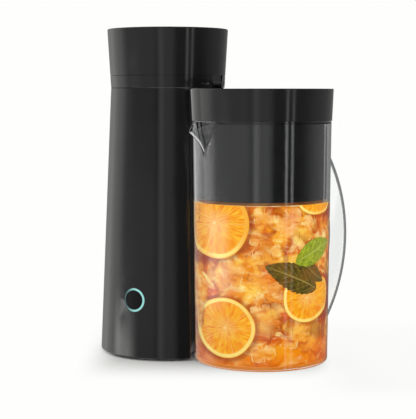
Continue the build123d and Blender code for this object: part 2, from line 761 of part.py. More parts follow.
def board_carrier():
    """Moulded frame that holds the board upright on the base plate."""
    face = button_stack()[5] + board_thickness
    half = board_width / 2
    top = button_z + board_height / 2
    low = plate_top_z + 3
    frame = block(-half, half, face + 3, face + 5.4, low, top)
    frame -= block(-half + 7, half - 7, face + 2, face + 6, low + 12, top - 6)
    for x, z in board_screw_places():
        frame += along_y(x, face, face + 3, z, 2.6)
        frame -= along_y(x, face, face + 5.4, z, 1.1)
    for x, y in carrier_places():
        frame += block(x - 5, x + 5, y - screw_radius - 2, face + 5.4, low, low + 2.4)
        frame -= pillar(x, y, low, low + 2.4, screw_radius + 0.2)
    return frame


def board_screws():
    """Screws of the board, and those of its carrier."""
    face = button_stack()[5]
    screws = []
    for x, z in board_screw_places():
        screws.append(along_y(x, face - 1.0, face, z, 2.2) + along_y(x, face, face + 6, z, 1.05))
    for x, y in carrier_places():
        screws.append(screw(x, y, plate_top_z + 5.4, 4.5, up=False))
    return screws


# ---------------- pitcher
def beak_section(z, radius, reach, half_width, root, tip_round):
    """Plan of the beak at height z: two straight sides from the wall, tangent to a round tip."""
    centre = radius + reach - tip_round
    distance = math.hypot(centre - root, half_width)
    lean = math.atan2(half_width, centre - root) - math.asin(min(0.95, tip_round / distance))
    tangent = math.pi / 2 - lean
    tip_x, tip_y = centre + tip_round * math.cos(tangent), tip_round * math.sin(tangent)
    lower = Line((root, -half_width), (tip_x, -tip_y))
    tip = ThreePointArc((tip_x, -tip_y), (centre + tip_round, 0), (tip_x, tip_y))
    upper = Line((tip_x, tip_y), (root, half_width))
    back = Line((root, half_width), (root, -half_width))
    return Pos(0, 0, z) * make_face(lower + tip + upper + back)


def beak(shrink):
    """Solid of the beak: it swells out of the wall more and more steeply up to the lip."""
    sections = []
    steps = 5
    top = shoulder_z + 1
    full = spout_tip_radius - pitcher_radius(spout_tip_z)
    for step in range(steps + 1):
        share = step / steps
        z = spout_foot_z + (top - spout_foot_z) * share
        rise = (z - spout_foot_z) / (spout_tip_z - spout_foot_z)
        reach = full * rise ** spout_swell - shrink
        width_share = spout_foot_share + (1 - spout_foot_share) * share
        half_width = spout_half_width * width_share - shrink
        root = pitcher_base_radius - spout_root_depth
        sections.append(beak_section(z, pitcher_radius(z), reach, half_width, root, spout_tip_round))
    return loft(sections)


def lip_wedge():
    """Everything above the beak's slanting lip, from the shoulder down to the tip."""
    far = spout_tip_radius + 30
    slope = (shoulder_z - spout_tip_z) / (spout_tip_radius - pitcher_shoulder_radius)
    root = pitcher_shoulder_radius
    low = shoulder_z - slope * (far - root)
    high = shoulder_z + 20
    edge = Polyline((root, shoulder_z), (far, low), (far, high), (root, high), close=True)
    return extrude(Plane.XZ * make_face(edge), amount=40, both=True)


def revolve_profile(points):
    """Solid of revolution about Z from half a section."""
    return revolve(Plane.XZ * make_face(Polyline(*points, close=True)), Axis.Z)


def pitcher_outside():
    """Solid of the pitcher's outer form: body, shoulder, neck and beak."""
    body = revolve_profile([
        (0, 0), (pitcher_base_radius, 0), (pitcher_radius(shoulder_z), shoulder_z),
        (neck_outer_radius, shoulder_z), (neck_outer_radius, neck_top_z), (0, neck_top_z),
    ])
    body = fillet(body.edges().group_by(Axis.Z)[0], pitcher_base_round)
    bulge = beak(0) - lip_wedge() - pillar(0, 0, shoulder_z, neck_top_z, spout_tip_radius + 5)
    return body + Rot(0, 0, spout_angle) * bulge


def pitcher_inside():
    """Solid of the pitcher's inner form, open at the neck."""
    inner = revolve_profile([
        (0, pitcher_floor), (pitcher_radius(pitcher_floor) - pitcher_wall, pitcher_floor),
        (pitcher_radius(shoulder_z) - pitcher_wall, shoulder_z - neck_wall),
        (neck_inner_radius, shoulder_z), (neck_inner_radius, neck_top_z + 1), (0, neck_top_z + 1),
    ])
    inner = fillet(inner.edges().group_by(Axis.Z)[0], pitcher_base_round + 1)
    hollow = beak(pitcher_wall * 0.8) - pillar(0, 0, shoulder_z, neck_top_z, spout_tip_radius + 5)
    return inner + Rot(0, 0, spout_angle) * hollow


def pitcher_body():
    """Clear pitcher with a pouring beak just below the lid's skirt."""
    body = pitcher_outside() - pitcher_inside()
    body -= pillar(0, 0, 0, pitcher_foot_recess, pitcher_base_radius - pitcher_foot_width)
    return Pos(dock_pitch, 0, 0) * body


def pitcher_handle():
    """Bow-shaped clear strap from under the lid to near the base, opposite the beak."""
    centre = handle_reach - handle_arc_radius
    plan = Circle(handle_arc_radius) - Circle(handle_arc_radius - handle_thickness)
    plan = Pos(centre, handle_middle_z) * plan
    root = pitcher_base_radius - handle_root_depth
    room = Rectangle(handle_reach, 2 * handle_arc_radius, align=(Align.MIN, Align.CENTER))
    plan &= Pos(root, handle_middle_z) * room
    strap = extrude(Plane.XZ * plan, amount=handle_width / 2, both=True)
    arcs = [e for e in strap.edges() if e.length > handle_arc_radius * 0.8]
    strap = fillet(arcs, handle_edge_round)
    body = taper(pitcher_radius, 0, 0, shoulder_z)
    return Pos(dock_pitch, 0, 0) * Rot(0, 0, handle_angle) * (strap - body)


# ---------------- lid and brew basket
def ring_sector(inner, outer, low, high, start, span):
    """Part of an upright tube, from the angle start in degrees on through span."""
    section = Pos((inner + outer) / 2, (low + high) / 2) * Rectangle(outer - inner, high - low)
    return Rot(0, 0, start) * revolve(Plane.XZ * section, Axis.Z, span)


def lug_angles():
    """Where each bayonet lug starts, about the pitcher's axis."""
    return [spout_angle + 360.0 * (index + 0.5) / lug_count for index in range(lug_count)]


def lid_under(radius):
    """Height of the lid's dished underside at a radius."""
    share = (lid_inner_radius - radius) / (lid_inner_radius - shower_radius)
    return lid_under_z - lid_dish_fall * share


def bayonet_lugs(ring_outer):
    """Lugs round the basket's ring."""
    low = basket_top_z() - lug_drop - lug_height / 2
    span = math.degrees(lug_width / ring_outer)
    outer = ring_outer + lug_reach
    return [
        ring_sector(ring_outer - 0.5, outer, low, low + lug_height, angle, span)
        for angle in lug_angles()
    ]


def bayonet_slots():
    """L-shaped slots in the basket's rim: a way in from the top, then a run that the lugs lock in."""
    inner, outer = basket_radius - basket_wall - 1, basket_radius + 1
    low = basket_top_z() - lug_drop - lug_height / 2 - lug_gap
    high = low + lug_height + 2 * lug_gap
    gap = math.degrees(lug_gap / inner)
    span = math.degrees(lug_width / inner) + 2 * gap
    slots = []
    for angle in lug_angles():
        start = angle - basket_twist - gap
        slots.append(ring_sector(inner, outer, low, high, start, basket_twist + span))
        slots.append(ring_sector(inner, outer, low, basket_top_z() + 1, start, span))
    return slots


def pitcher_lid():
    """Lid with a tapered skirt and a dished top with shower holes."""
    rim = lid_top_radius - lid_rim_width
    dish_edge = lid_top_z - lid_dish_depth
    dish_low = dish_edge - lid_dish_fall
    under_low = dish_low - lid_plate
    body = revolve_profile([
        (0, dish_low), (shower_radius, dish_low), (rim, dish_edge), (rim, lid_top_z),
        (lid_top_radius, lid_top_z), (lid_bottom_radius, lid_bottom_z),
        (lid_inner_radius, lid_bottom_z), (lid_inner_radius, lid_under_z),
        (shower_radius, under_low), (0, under_low),
    ])
    round_edges = body.edges().filter_by(GeomType.CIRCLE)
    body = fillet([e for e in round_edges if e.radius > lid_top_radius - 0.01], 0.8)
    for radius, count in shower_rings:
        for index in range(count):
            x, y = polar(radius, 360.0 * index / count)
            body -= pillar(x, y, under_low - 1, dish_low + 1, shower_hole_radius)
    return Pos(dock_pitch, 0, 0) * body


def basket_ring():
    """Ring welded under the lid, with the lugs that the basket hangs on."""
    outer = basket_radius - basket_wall - ring_slack
    inner = outer - ring_wall
    top = lid_under(outer) - seat_gap
    body = revolve_profile([
        (outer, top), (outer, top - basket_ring_drop),
        (inner, top - basket_ring_drop), (inner, lid_under(inner) - seat_gap),
    ])
    for lug in bayonet_lugs(outer):
        body += lug
    return Pos(dock_pitch, 0, 0) * body


def lid_gasket():
    """Silicone ring under the lid, over the pitcher's neck."""
    top = lid_under(basket_radius) - seat_gap
    return tube(dock_pitch, 0, top - gasket_thickness, top, neck_outer_radius - 0.1, basket_radius + 0.1)


def basket_top_z():
    """Top edge of the basket, against the underside of the lid."""
    return lid_under(basket_radius - basket_wall) - seat_gap


def brew_basket():
    """Deep drafted basket with a slotted floor and a pour window of upright slots."""
    top = basket_top_z()
    low = basket_bottom_z
    foot = basket_radius - basket_draft
    rim_low = top - basket_rim_height
    outer = revolve_profile([
        (0, low), (foot, low), (basket_radius, rim_low), (basket_radius, top), (0, top),
    ])
    outer = fillet(outer.edges().group_by(Axis.Z)[0], 1.2)
    inner = revolve_profile([
        (0, low + basket_floor), (foot - basket_wall, low + basket_floor),
        (basket_radius - basket_wall, rim_low), (basket_radius - basket_wall, top), (0, top),
    ])
    body = outer - inner
    slot = SlotOverall(floor_slot_outer - floor_slot_inner, floor_slot_width)
    middle = (floor_slot_inner + floor_slot_outer) / 2
    for index in range(floor_slot_count):
        cutter = Pos(middle, 0, low) * extrude(slot, amount=basket_floor)
        body -= Rot(0, 0, 360.0 * index / floor_slot_count) * cutter
    half = window_slot_width / 2
    for bayonet_slot in bayonet_slots():
        body -= bayonet_slot
    far = basket_radius + basket_wall
    opening = block(basket_radius - 4 * basket_wall, far, -half, half, window_bottom_z, window_top_z)
    for index in range(window_slots):
        arc = (index - (window_slots - 1) / 2) * window_slot_pitch / basket_radius
        body -= Rot(0, 0, spout_angle - window_turn + math.degrees(arc)) * opening
    return Pos(dock_pitch, 0, 0) * body


def filter_screen():
    """Flat steel screen that lies on the basket's floor."""
    plan = Circle(screen_radius)
    cells = int(screen_radius / screen_pitch)
    reach = screen_radius - screen_gap_size
    holes = Sketch()
    for column in range(-cells, cells + 1):
        for row in range(-cells, cells + 1):
            x, y = column * screen_pitch, row * screen_pitch
            if math.hypot(x, y) < reach:
                holes += Pos(x, y) * Rectangle(screen_gap_size, screen_gap_size)
    low = basket_bottom_z + basket_floor
    return Pos(dock_pitch, 0, low) * extrude(plan - holes, amount=screen_thickness)


# ---------------- everything, by node name
NODES = {
    "tower_shell": tower_shell,
    "dock_panel": dock_panel,
    "base_plate": base_plate,
    "rubber_feet": rubber_feet,
    "base_screws": base_screws,
    "cord_gland": cord_gland,
    "head_collar": head_collar,
    "hinge_pin": hinge_pin,
    "reservoir_tank": reservoir_tank,
    "tank_seal": tank_seal,
    "outlet_duct": outlet_duct,
    "riser_tube": riser_tube,
    "inlet_hose": inlet_hose,
    "check_valve": check_valve,
    "hose_clips": hose_clips,
    "heater_block": heater_block,
    "heater_bracket": heater_bracket,
    "heater_strap": heater_strap,
    "heater_screws": heater_screws,
    "thermostat": thermostat,
    "thermal_fuse": thermal_fuse,
    "control_board": control_board,
    "board_carrier": board_carrier,
    "board_screws": board_screws,
    "switch_body": switch_body,
    "light_ring": light_ring,
    "button_cap": button_cap,
    "switch_plunger": switch_plunger,
    "tower_cap": tower_cap,
    "cap_liner": cap_liner,
    "pitcher_body": pitcher_body,
    "pitcher_handle": pitcher_handle,
    "pitcher_lid": pitcher_lid,
    "basket_ring": basket_ring,
    "lid_gasket": lid_gasket,
    "brew_basket": brew_basket,
    "filter_screen": filter_screen,
}


def build():
    """Every node as a list of solids, with the centre of the footprint at the origin."""
    made = {}
    for name, make in NODES.items():
        shape = make()
        pieces = shape if isinstance(shape, list) else [shape]
        made[name] = [solid for piece in pieces for solid in piece.solids()]
    boxes = [solid.bounding_box() for solids in made.values() for solid in solids]
    middle_x = (min(b.min.X for b in boxes) + max(b.max.X for b in boxes)) / 2
    middle_y = (min(b.min.Y for b in boxes) + max(b.max.Y for b in boxes)) / 2
    move = Pos(-middle_x, -middle_y, 0)
    moved = {name: [move * solid for solid in solids] for name, solids in made.items()}
    return moved, (middle_x, middle_y)


def main():
    """Writes every node and prints where the tower's axis ends up."""
    nodes, (middle_x, middle_y) = build()
    os.makedirs("parts", exist_ok=True)
    for name, solids in nodes.items():
        shape = Compound(children=solids) if len(solids) > 1 else solids[0]
        export_step(shape, f"parts/{name}.step")
    print("tower axis at", round(-middle_x, 3), round(-middle_y, 3), "nodes", len(nodes))


if __name__ == "__main__":
    main()
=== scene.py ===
# %% [markdown]
# # Iced tea maker: looks
#
# The packed CAD frame holds every rigid piece at its real size. This script gives each of
# them its finish, fills the pitcher with iced tea, orange slices, ice and mint, and lights
# the whole as a plain product photograph. Lengths are metres, in the frame's own axes.

# %% Load the frame
import math

import bmesh
import bpy
import numpy as np
from mathutils import Matrix, Vector


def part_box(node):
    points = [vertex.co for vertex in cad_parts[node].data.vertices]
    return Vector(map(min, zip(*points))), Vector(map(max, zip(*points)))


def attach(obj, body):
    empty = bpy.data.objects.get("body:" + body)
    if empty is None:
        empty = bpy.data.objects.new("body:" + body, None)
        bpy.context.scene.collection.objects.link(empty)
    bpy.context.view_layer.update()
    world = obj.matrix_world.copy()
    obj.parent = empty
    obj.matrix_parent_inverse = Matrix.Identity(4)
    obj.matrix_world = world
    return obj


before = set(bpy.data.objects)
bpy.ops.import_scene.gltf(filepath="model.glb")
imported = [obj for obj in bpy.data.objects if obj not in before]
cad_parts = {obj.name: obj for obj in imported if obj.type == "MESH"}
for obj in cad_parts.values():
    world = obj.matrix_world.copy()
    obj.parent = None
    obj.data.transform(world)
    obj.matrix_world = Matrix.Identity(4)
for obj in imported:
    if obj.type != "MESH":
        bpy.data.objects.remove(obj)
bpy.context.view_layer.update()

MM = 0.001

# %% [markdown]
# ## Where things are
#
# The pitcher's axis is the middle of its round lid and the tower's axis is the middle of its
# round cap. Both could be written as numbers, but read from the frame they stay right when
# the CAD changes.

# %% Axes of the two columns
def middle(node):
    """Centre of a CAD node's box."""
    low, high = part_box(node)
    return (low + high) / 2


pitcher_axis = middle("pitcher_lid")
tower_axis = middle("tower_cap")
for name, axis in (("pitcher", pitcher_axis), ("tower", tower_axis)):
    print(name, "axis at", [round(v, 4) for v in axis.xy])

# %% [markdown]
# ## Camera
#
# The photograph's view, worked out from the two round columns: their seams give the tilt,
# and the distance comes from how much the ellipses open towards the worktop. A camera could
# also be turned by angles, but three directions at right angles to each other say its place
# and its turn at once. There is no shift and no depth of field.

# %% Camera at the photograph's place
FRAME_HEIGHT_PX = 419
FOCAL_PX = 1241.13
SENSOR = 36.0                 # millimetres, as Blender counts a lens
CLIP = 0.05, 30.0             # nearest and farthest things it shows
camera_turn = 0.5053          # camera stands this far round from -Y towards +X, radians
camera_tilt = 0.0938          # looks down by this, radians
camera_distance = 1.21152     # from the tower's axis, along the floor
camera_height = 0.25121
camera_side = 0.03893         # to the right of the tower's axis


def make_camera():
    """Camera at the photograph's place, looking a little down past the tower."""
    back = Vector((math.sin(camera_turn), -math.cos(camera_turn), 0))
    right = Vector((math.cos(camera_turn), math.sin(camera_turn), 0))
    place = back * camera_distance + right * camera_side + Vector((0, 0, camera_height))
    place += Vector((tower_axis.x, tower_axis.y, 0))
    forward = -back * math.cos(camera_tilt) - Vector((0, 0, math.sin(camera_tilt)))
    upward = right.cross(forward)
    turn = Matrix((right, upward, -forward)).transposed()
    data = bpy.data.cameras.new("camera")
    data.sensor_width = SENSOR
    data.lens = FOCAL_PX * SENSOR / FRAME_HEIGHT_PX
    data.clip_start, data.clip_end = CLIP
    camera = bpy.data.objects.new("camera", data)
    camera.matrix_world = Matrix.Translation(place) @ turn.to_4x4()
    bpy.context.scene.collection.objects.link(camera)
    bpy.context.scene.camera = camera
    return camera


camera = make_camera()
print("camera at", [round(v, 3) for v in camera.matrix_world.translation])

# %% [markdown]
# ## Shader maths
#
# A material is a tree of small nodes. It could be wired by hand, but a formula is easier to
# read, so a small class stands for a socket and turns + - * / into Math nodes. A second class
# stands for the whole tree, and one method of it makes every other node.

# %% Colour from a hex code
def linear(code):
    """Linear colour from an sRGB hex code: a straight piece near black, then a power of 2.4."""
    parts = [int(code[i:i + 2], 16) / 255 for i in (1, 3, 5)]
    return (*(v / 12.92 if v <= 0.04045 else ((v + 0.055) / 1.055) ** 2.4 for v in parts), 1.0)


print("mid grey is", round(linear("#808080")[0], 3), "in linear light")

# %% Socket with operators
class Value:
    """Output socket of a node, with the operators that make Math nodes."""

    def __init__(self, graph, socket):
        self.graph, self.socket = graph, socket

    def math(self, operation, *others, swap=False):
        """Math node on this socket and the others, swapped for the reflected operators."""
        inputs = [self, *others][::-1 if swap else 1]
        return self.graph.out("ShaderNodeMath", {"operation": operation}, dict(enumerate(inputs)))

    def __add__(self, other):
        return self.math("ADD", other)

    __radd__ = __add__

    def __sub__(self, other):
        return self.math("SUBTRACT", other)

    def __rsub__(self, other):
        return self.math("SUBTRACT", other, swap=True)

    def __mul__(self, other):
        return self.math("MULTIPLY", other)

    __rmul__ = __mul__

    def __truediv__(self, other):
        return self.math("DIVIDE", other)

    def __rtruediv__(self, other):
        return self.math("DIVIDE", other, swap=True)

    def smooth(self, low, high, out_low=0.0, out_high=1.0):
        """Smooth step: out_low at low, out_high at high, level beyond both."""
        inputs = {"Value": self, "From Min": low, "From Max": high, "To Min": out_low,
                  "To Max": out_high}
        return self.graph.out("ShaderNodeMapRange", {"interpolation_type": "SMOOTHSTEP"}, inputs)


print("reflected operators:", [name for name in vars(Value) if name.startswith("__r")])

# %% Node tree
class Tree:
    """Node tree of a material or world, started empty."""

    def __init__(self, owner):
        owner.use_nodes = True
        self.tree = owner.node_tree
        self.tree.nodes.clear()

    def feed(self, socket, value):
        """Links a Value to a socket, or sets the socket's own number or colour (a hex code)."""
        if isinstance(value, Value):
            self.tree.links.new(value.socket, socket)
        elif value is not None:
            socket.default_value = linear(value) if isinstance(value, str) else value

    def node(self, kind, settings=None, inputs=None):
        """One node, with its settings and its sockets set or linked."""
        node = self.tree.nodes.new(kind)
        for name, value in (settings or {}).items():
            setattr(node, name, value)
        for name, value in (inputs or {}).items():
            self.feed(node.inputs[name], value)
        return node

    def out(self, kind, settings=None, inputs=None, output=0):
        """One node's output."""
        return Value(self, self.node(kind, settings, inputs).outputs[output])


print("a tree can", [name for name in vars(Tree) if name[0] != "_"])

# %% Named nodes on the tree
class Graph(Tree):
    """Tree with a short name for each node that the finishes share."""

    def coordinates(self, kind="Object"):
        """Place on the piece (Object), its own net (UV) or where its surface looks (Normal)."""
        return self.out("ShaderNodeTexCoord", output=kind)

    def ray(self, kind):
        """What Light Path says about the ray that meets the surface."""
        return self.out("ShaderNodeLightPath", output=kind)

    def bounced(self, kind):
        """1 for a ray that has been mirrored (Glossy) or scattered (Diffuse) before."""
        return self.ray(kind + " Depth").math("GREATER_THAN", 0.5)

    def noise(self, vector, scale, detail=2.0, roughness=0.5, distortion=0.0, output=0):
        """Cloudy noise; its output 1 is a colour, for three noises at once."""
        inputs = {"Vector": vector, "Scale": scale, "Detail": detail, "Roughness": roughness,
                  "Distortion": distortion}
        return self.out("ShaderNodeTexNoise", {"noise_dimensions": "3D"}, inputs, output)

    def grained(self, scale, first, second, detail=2.0, roughness=0.5):
        """Noise on the piece's own place, and a tint that goes from one colour to another by it."""
        grain = self.noise(self.coordinates(), scale, detail, roughness)
        return grain, self.mix(grain, first, second)

    def voronoi(self, vector, scale, feature="F1", output="Distance"):
        """Cells round scattered points."""
        inputs = {"Vector": vector, "Scale": scale}
        return self.out("ShaderNodeTexVoronoi", {"feature": feature}, inputs, output)

    def vector(self, operation, first, second, third=None):
        """Vector Math on two or three vectors."""
        inputs = {0: first, 1: second, 2: third}
        return self.out("ShaderNodeVectorMath", {"operation": operation}, inputs)

    def mix(self, factor, first, second):
        """Colour mix; sockets 0, 6 and 7 of the node are the ones for colours."""
        settings = {"data_type": "RGBA", "clamp_factor": True}
        return self.out("ShaderNodeMix", settings, {0: factor, 6: first, 7: second}, output=2)

    def paint(self, tint, *coats):
        """Lays coats over a tint in turn, each a mask and the colour that shows where it is 1."""
        for mask, colour in coats:
            tint = self.mix(mask, tint, colour)
        return tint

    def parts(self, vector):
        """X, Y and Z of a vector."""
        node = self.node("ShaderNodeSeparateXYZ", inputs={0: vector})
        return [Value(self, socket) for socket in node.outputs]

    def bump(self, height, strength, distance):
        """Surface direction that a relief would have."""
        inputs = {"Height": height, "Strength": strength, "Distance": distance}
        return self.out("ShaderNodeBump", inputs=inputs)

    def shader_mix(self, factor, first, second):
        """The first shader where the factor is 0, the second where it is 1."""
        return self.out("ShaderNodeMixShader", inputs={0: factor, 1: first, 2: second})

    def principled(self, **sockets):
        """Principled shader; a socket's name is written with underscores."""
        inputs = {name.replace("_", " "): value for name, value in sockets.items()}
        return self.out("ShaderNodeBsdfPrincipled", inputs=inputs)


print("named nodes:", [name for name in vars(Graph) if name[0] != "_"])

# %% Material from a recipe
def material(name, build):
    """Material whose build(graph) returns its shader."""
    made = bpy.data.materials.new(name)
    graph = Graph(made)
    shader = build(graph)
    graph.node("ShaderNodeOutputMaterial", inputs={"Surface": shader})
    return made


print(len(bpy.data.materials), "materials came with the frame")

# %% [markdown]
# ## Studio
#
# The photograph's black plastic shows what stood round it: a broad soft light on the left, a
# dim grey front, black on the right with two thin bright slits, and a grey rise at the far
# right. Soft boxes could be built as lamps, but each would also light the whole machine, so
# the world has them as bands by compass direction, which only mirrored rays meet. Camera rays
# and rays through the clear pitcher see the white backdrop, and plain surfaces are lit evenly.

# %% Soft lights that black plastic mirrors
BACKDROP = "#FEFEFC"
EVEN_LIGHT = 0.84             # what a plain surface gets from all round
DARKEST = 0.06                # of any band


def studio_bands(graph):
    """Brightness of the studio by degrees to the right of the camera's bearing, and upwards."""
    x, y, z = graph.parts(graph.coordinates("Generated"))
    bearing = camera_turn - math.pi / 2
    across = y * math.cos(bearing) - x * math.sin(bearing)
    along = x * math.cos(bearing) + y * math.sin(bearing)
    angle = across.math("ARCTAN2", along) * math.degrees(1)
    rise = z.math("ARCSINE") * math.degrees(1)

    def band(low, high, edge, edge_high=None):
        """1 between two angles, with edges that are soft by so many degrees."""
        edge_high = edge_high or edge
        beyond = angle.smooth(high - edge_high, high + edge_high)
        return angle.smooth(low - edge, low + edge) * (1 - beyond)

    far_left = band(-200, -140, 6, 8) * 0.36
    softbox = band(-138, -92, 7, 11) * 0.66
    front = band(-150, -8, 12, 5) * 0.45
    near_right = band(-16, 15, 4, 9) * 0.47
    front = front * (1 - band(-74, -17, 8, 5) * rise.smooth(0.0, 3.0) * 0.42)
    dip = band(-24, -12, 5) * -0.14
    low_panel = band(-100, -62, 9, 12) * rise.smooth(-11.6, -9.6) * rise.smooth(-6.0, -7.4) * 3.0
    slits = band(37.5, 41.5, 1.4) * 1.45 + band(48.0, 52.0, 1.4) * 1.2
    right = angle.smooth(62, 100) * 0.2
    broad = (far_left + softbox + front + near_right + dip).math("MAXIMUM", DARKEST)
    return broad + low_panel + slits + right


def make_world():
    """Backdrop for the camera, bands for mirrored rays and even light for scattered ones."""
    world = bpy.data.worlds.new("studio")
    graph = Graph(world)
    mirrored, scattered = graph.bounced("Glossy"), graph.bounced("Diffuse")
    unscattered = mirrored * studio_bands(graph) + (1 - mirrored)
    strength = scattered * EVEN_LIGHT + (1 - scattered) * unscattered
    background = graph.out("ShaderNodeBackground", inputs={"Color": BACKDROP, "Strength": strength})
    graph.node("ShaderNodeOutputWorld", inputs={"Surface": background})
    world.cycles.sampling_method = "NONE"     # so that each kind of ray finds its own light
    bpy.context.scene.world = world
    return world


print("world", make_world().name)

# %% [markdown]
# ## Lamp
#
# One soft square lamp stands high behind the machine and gives the floor its faint shadow.
# Neither mirrors nor clear plastic show it, because the bands already are what they show.

# %% Top light
LAMP_PLACE = Vector((-0.55, 0.85, 1.5))
LAMP_TARGET = Vector((0, 0, 0.1))
LAMP_SIDE = 1.2
LAMP_WATTS = 7.0


def make_top_light():
    """Square lamp turned so that its face looks at the machine."""
    data = bpy.data.lights.new("top_light", "AREA")
    data.size, data.energy = LAMP_SIDE, LAMP_WATTS
    lamp = bpy.data.objects.new("top_light", data)
    lamp.location = LAMP_PLACE
    lamp.rotation_euler = (LAMP_TARGET - LAMP_PLACE).to_track_quat("-Z", "Y").to_euler()
    lamp.visible_glossy = lamp.visible_transmission = False
    bpy.context.scene.collection.objects.link(lamp)
    return lamp


top_light = make_top_light()
print("top light of", top_light.data.energy, "W at", [round(v, 2) for v in top_light.location])

# %% [markdown]
# ## Floor
#
# A pale sweep. A photographer would bend paper up behind the machine; here the floor is plain
# near the machine, where it takes the shadow, and further out it turns into the backdrop's
# own white, so no horizon shows. The patch where a drawn-out pitcher stands is partly plain.

# %% Where the floor is plain
NEAR_MACHINE = ((-0.085, -0.045), (0.165, 0.125), (0.150, 0.055), (-0.16, -0.09))
SLID_OUT = ((0.12, 0.18), (0.38, 0.32), (0.22, 0.15), (-0.16, -0.09))
SLID_OUT_SHARE = 0.3


def turned_plan(graph):
    """Distance from the tower's axis towards the camera's side, and across it to the right."""
    x, y, z = graph.parts(graph.coordinates())
    x, y = x - float(tower_axis.x), y - float(tower_axis.y)
    return (x * math.sin(camera_turn) - y * math.cos(camera_turn),
            x * math.cos(camera_turn) + y * math.sin(camera_turn))


def floor_patch(graph, left, right, front, back):
    """1 on a patch of floor; each side is given by where it ends and where the patch is full."""
    toward, across = turned_plan(graph)
    return (across.smooth(*left) * across.smooth(*right)
            * toward.smooth(*front) * toward.smooth(*back))


for name, (left, right, front, back) in (("near", NEAR_MACHINE), ("slid out", SLID_OUT)):
    print(name, "patch", round(right[0] - left[0], 3), "m by", round(front[0] - back[0], 3), "m")

# %% Pale floor
FLOOR_REACH = 4.0
UNDER_FEET = -0.05 * MM


def floor_shader(graph):
    """Plain in the patches, backdrop white all round them, open to mirrored rays."""
    seen = 1 - graph.bounced("Diffuse")
    slid_out = floor_patch(graph, *SLID_OUT) * SLID_OUT_SHARE
    plain = floor_patch(graph, *NEAR_MACHINE).math("MAXIMUM", slid_out)
    speckle, paint = graph.grained(900.0, "#FCFCFA", "#FEFEFD", 3.0)
    near = graph.principled(Base_Color=paint, Roughness=0.6, Specular_IOR_Level=0.0)
    white = graph.out("ShaderNodeEmission", inputs={"Color": BACKDROP, "Strength": 1.0})
    sweep = graph.shader_mix((1 - plain) * seen, near, white)
    return graph.shader_mix(graph.bounced("Glossy") * seen, sweep,
                            graph.out("ShaderNodeBsdfTransparent"))


def make_floor():
    """Square floor just under the feet."""
    mesh = bpy.data.meshes.new("floor")
    square = np.array([(-1, -1), (1, -1), (1, 1), (-1, 1)]) * FLOOR_REACH
    corners = [(*corner, UNDER_FEET) for corner in square.tolist()]
    mesh.from_pydata(corners, [], [(0, 1, 2, 3)])
    floor = bpy.data.objects.new("floor", mesh)
    floor.data.materials.append(material("floor", floor_shader))
    bpy.context.scene.collection.objects.link(floor)
    return floor


print("floor's sides", [round(v, 1) for v in make_floor().dimensions.xy])

# %% [markdown]
# ## Dressing the CAD pieces
#
# Each rigid piece of the maker already has the right shape, and the record names the material
# that each is made of. A finish is written once for a material and put on every piece that
# has it, so that a change of finish shows on all of them together.

# %% Helpers that put a finish on pieces
def dress(slot, build):
    """Finish for one of the record's materials, put on every CAD piece that is made of it."""
    made, count = material(slot + "_finish", build), 0
    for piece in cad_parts.values():
        for place in piece.material_slots:
            if place.material.name.split(".")[0] == slot:
                place.material, count = made, count + 1
    print(slot, "on", count, "pieces")


def dress_pieces(build, *nodes):
    """A finish of their own for named pieces."""
    made = material(build.__name__ + "_finish", build)
    for node in nodes:
        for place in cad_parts[node].material_slots:
            place.material = made
    print(build.__name__, "on", ", ".join(nodes))


print(len(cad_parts), "CAD pieces to dress")

# %% [markdown]
# ## Polished black plastic
#
# The cap, shell and lid are moulded in a polished tool, and they are dark mirrors with
# edges of soft light. A noise stretched along the height bends the reflections as flow marks
# do, and a broad noise makes the gloss a little uneven, because an even one looks like paint.

# %% Polished black of the lid and cap
def black_gloss(graph):
    """Near-black tint; roughness from 0.10 to 0.15; bump from noise stretched along the height."""
    tall = graph.vector("MULTIPLY", graph.coordinates(), (60.0, 60.0, 14.0))
    waves = graph.noise(tall, 1.0, 1.0)
    smear, tint = graph.grained(34.0, "#131314", "#19191A", 3.0)
    roughness = smear.smooth(0.35, 0.75, 0.10, 0.15)
    return graph.principled(Base_Color=tint, Roughness=roughness, IOR=1.5,
                            Normal=graph.bump(waves, 0.12, 0.00025))


dress("black_gloss", black_gloss)

# %% [markdown]
# ## Polished black of the tower
#
# The pitcher stands so close to the tower that its left side would mirror a black wall. In the
# studio a soft light fills that side, so a ray that has already been mirrored finds a glow on
# the tower's front side, while the camera and plain light find the same black as before. A
# lamp between the two would light the tea and the floor as well.

# %% Tower's own black
FILL = 0.66                   # strength of the glow
FILL_EDGE = 40 * MM, 54 * MM  # it sets in so far from the tower's axis, towards the camera


def tower_gloss(graph):
    """Polished black, mixed to a glow where a mirrored ray meets the side towards the camera."""
    glow = graph.out("ShaderNodeEmission", inputs={"Color": BACKDROP, "Strength": FILL})
    toward, across = turned_plan(graph)
    lit = graph.bounced("Glossy") * toward.smooth(*FILL_EDGE)
    return graph.shader_mix(lit, black_gloss(graph), glow)


dress_pieces(tower_gloss, "tower_shell", "dock_panel", "head_collar", "tower_cap")

# %% [markdown]
# ## Button
#
# The round button is a flush disc of plain black inside its lit ring, duller than the shell
# round it. A low specular level and a wide roughness keep the bright bands off it.

# %% Dull black of the button
def button_black(graph):
    """Black with a fine grain and little gloss."""
    grain, tint = graph.grained(1400.0, "#080708", "#0E0D0E")
    return graph.principled(Base_Color=tint, Roughness=0.42, Specular_IOR_Level=0.22,
                            Normal=graph.bump(grain, 0.1, 0.0001))


dress_pieces(button_black, "button_cap")

# %% [markdown]
# ## Textured black plastic
#
# Inner mouldings and the underside come from a spark-eroded tool. A very fine noise gives the
# grain in the bump and a slight change of tone, and a high roughness leaves only a soft sheen.

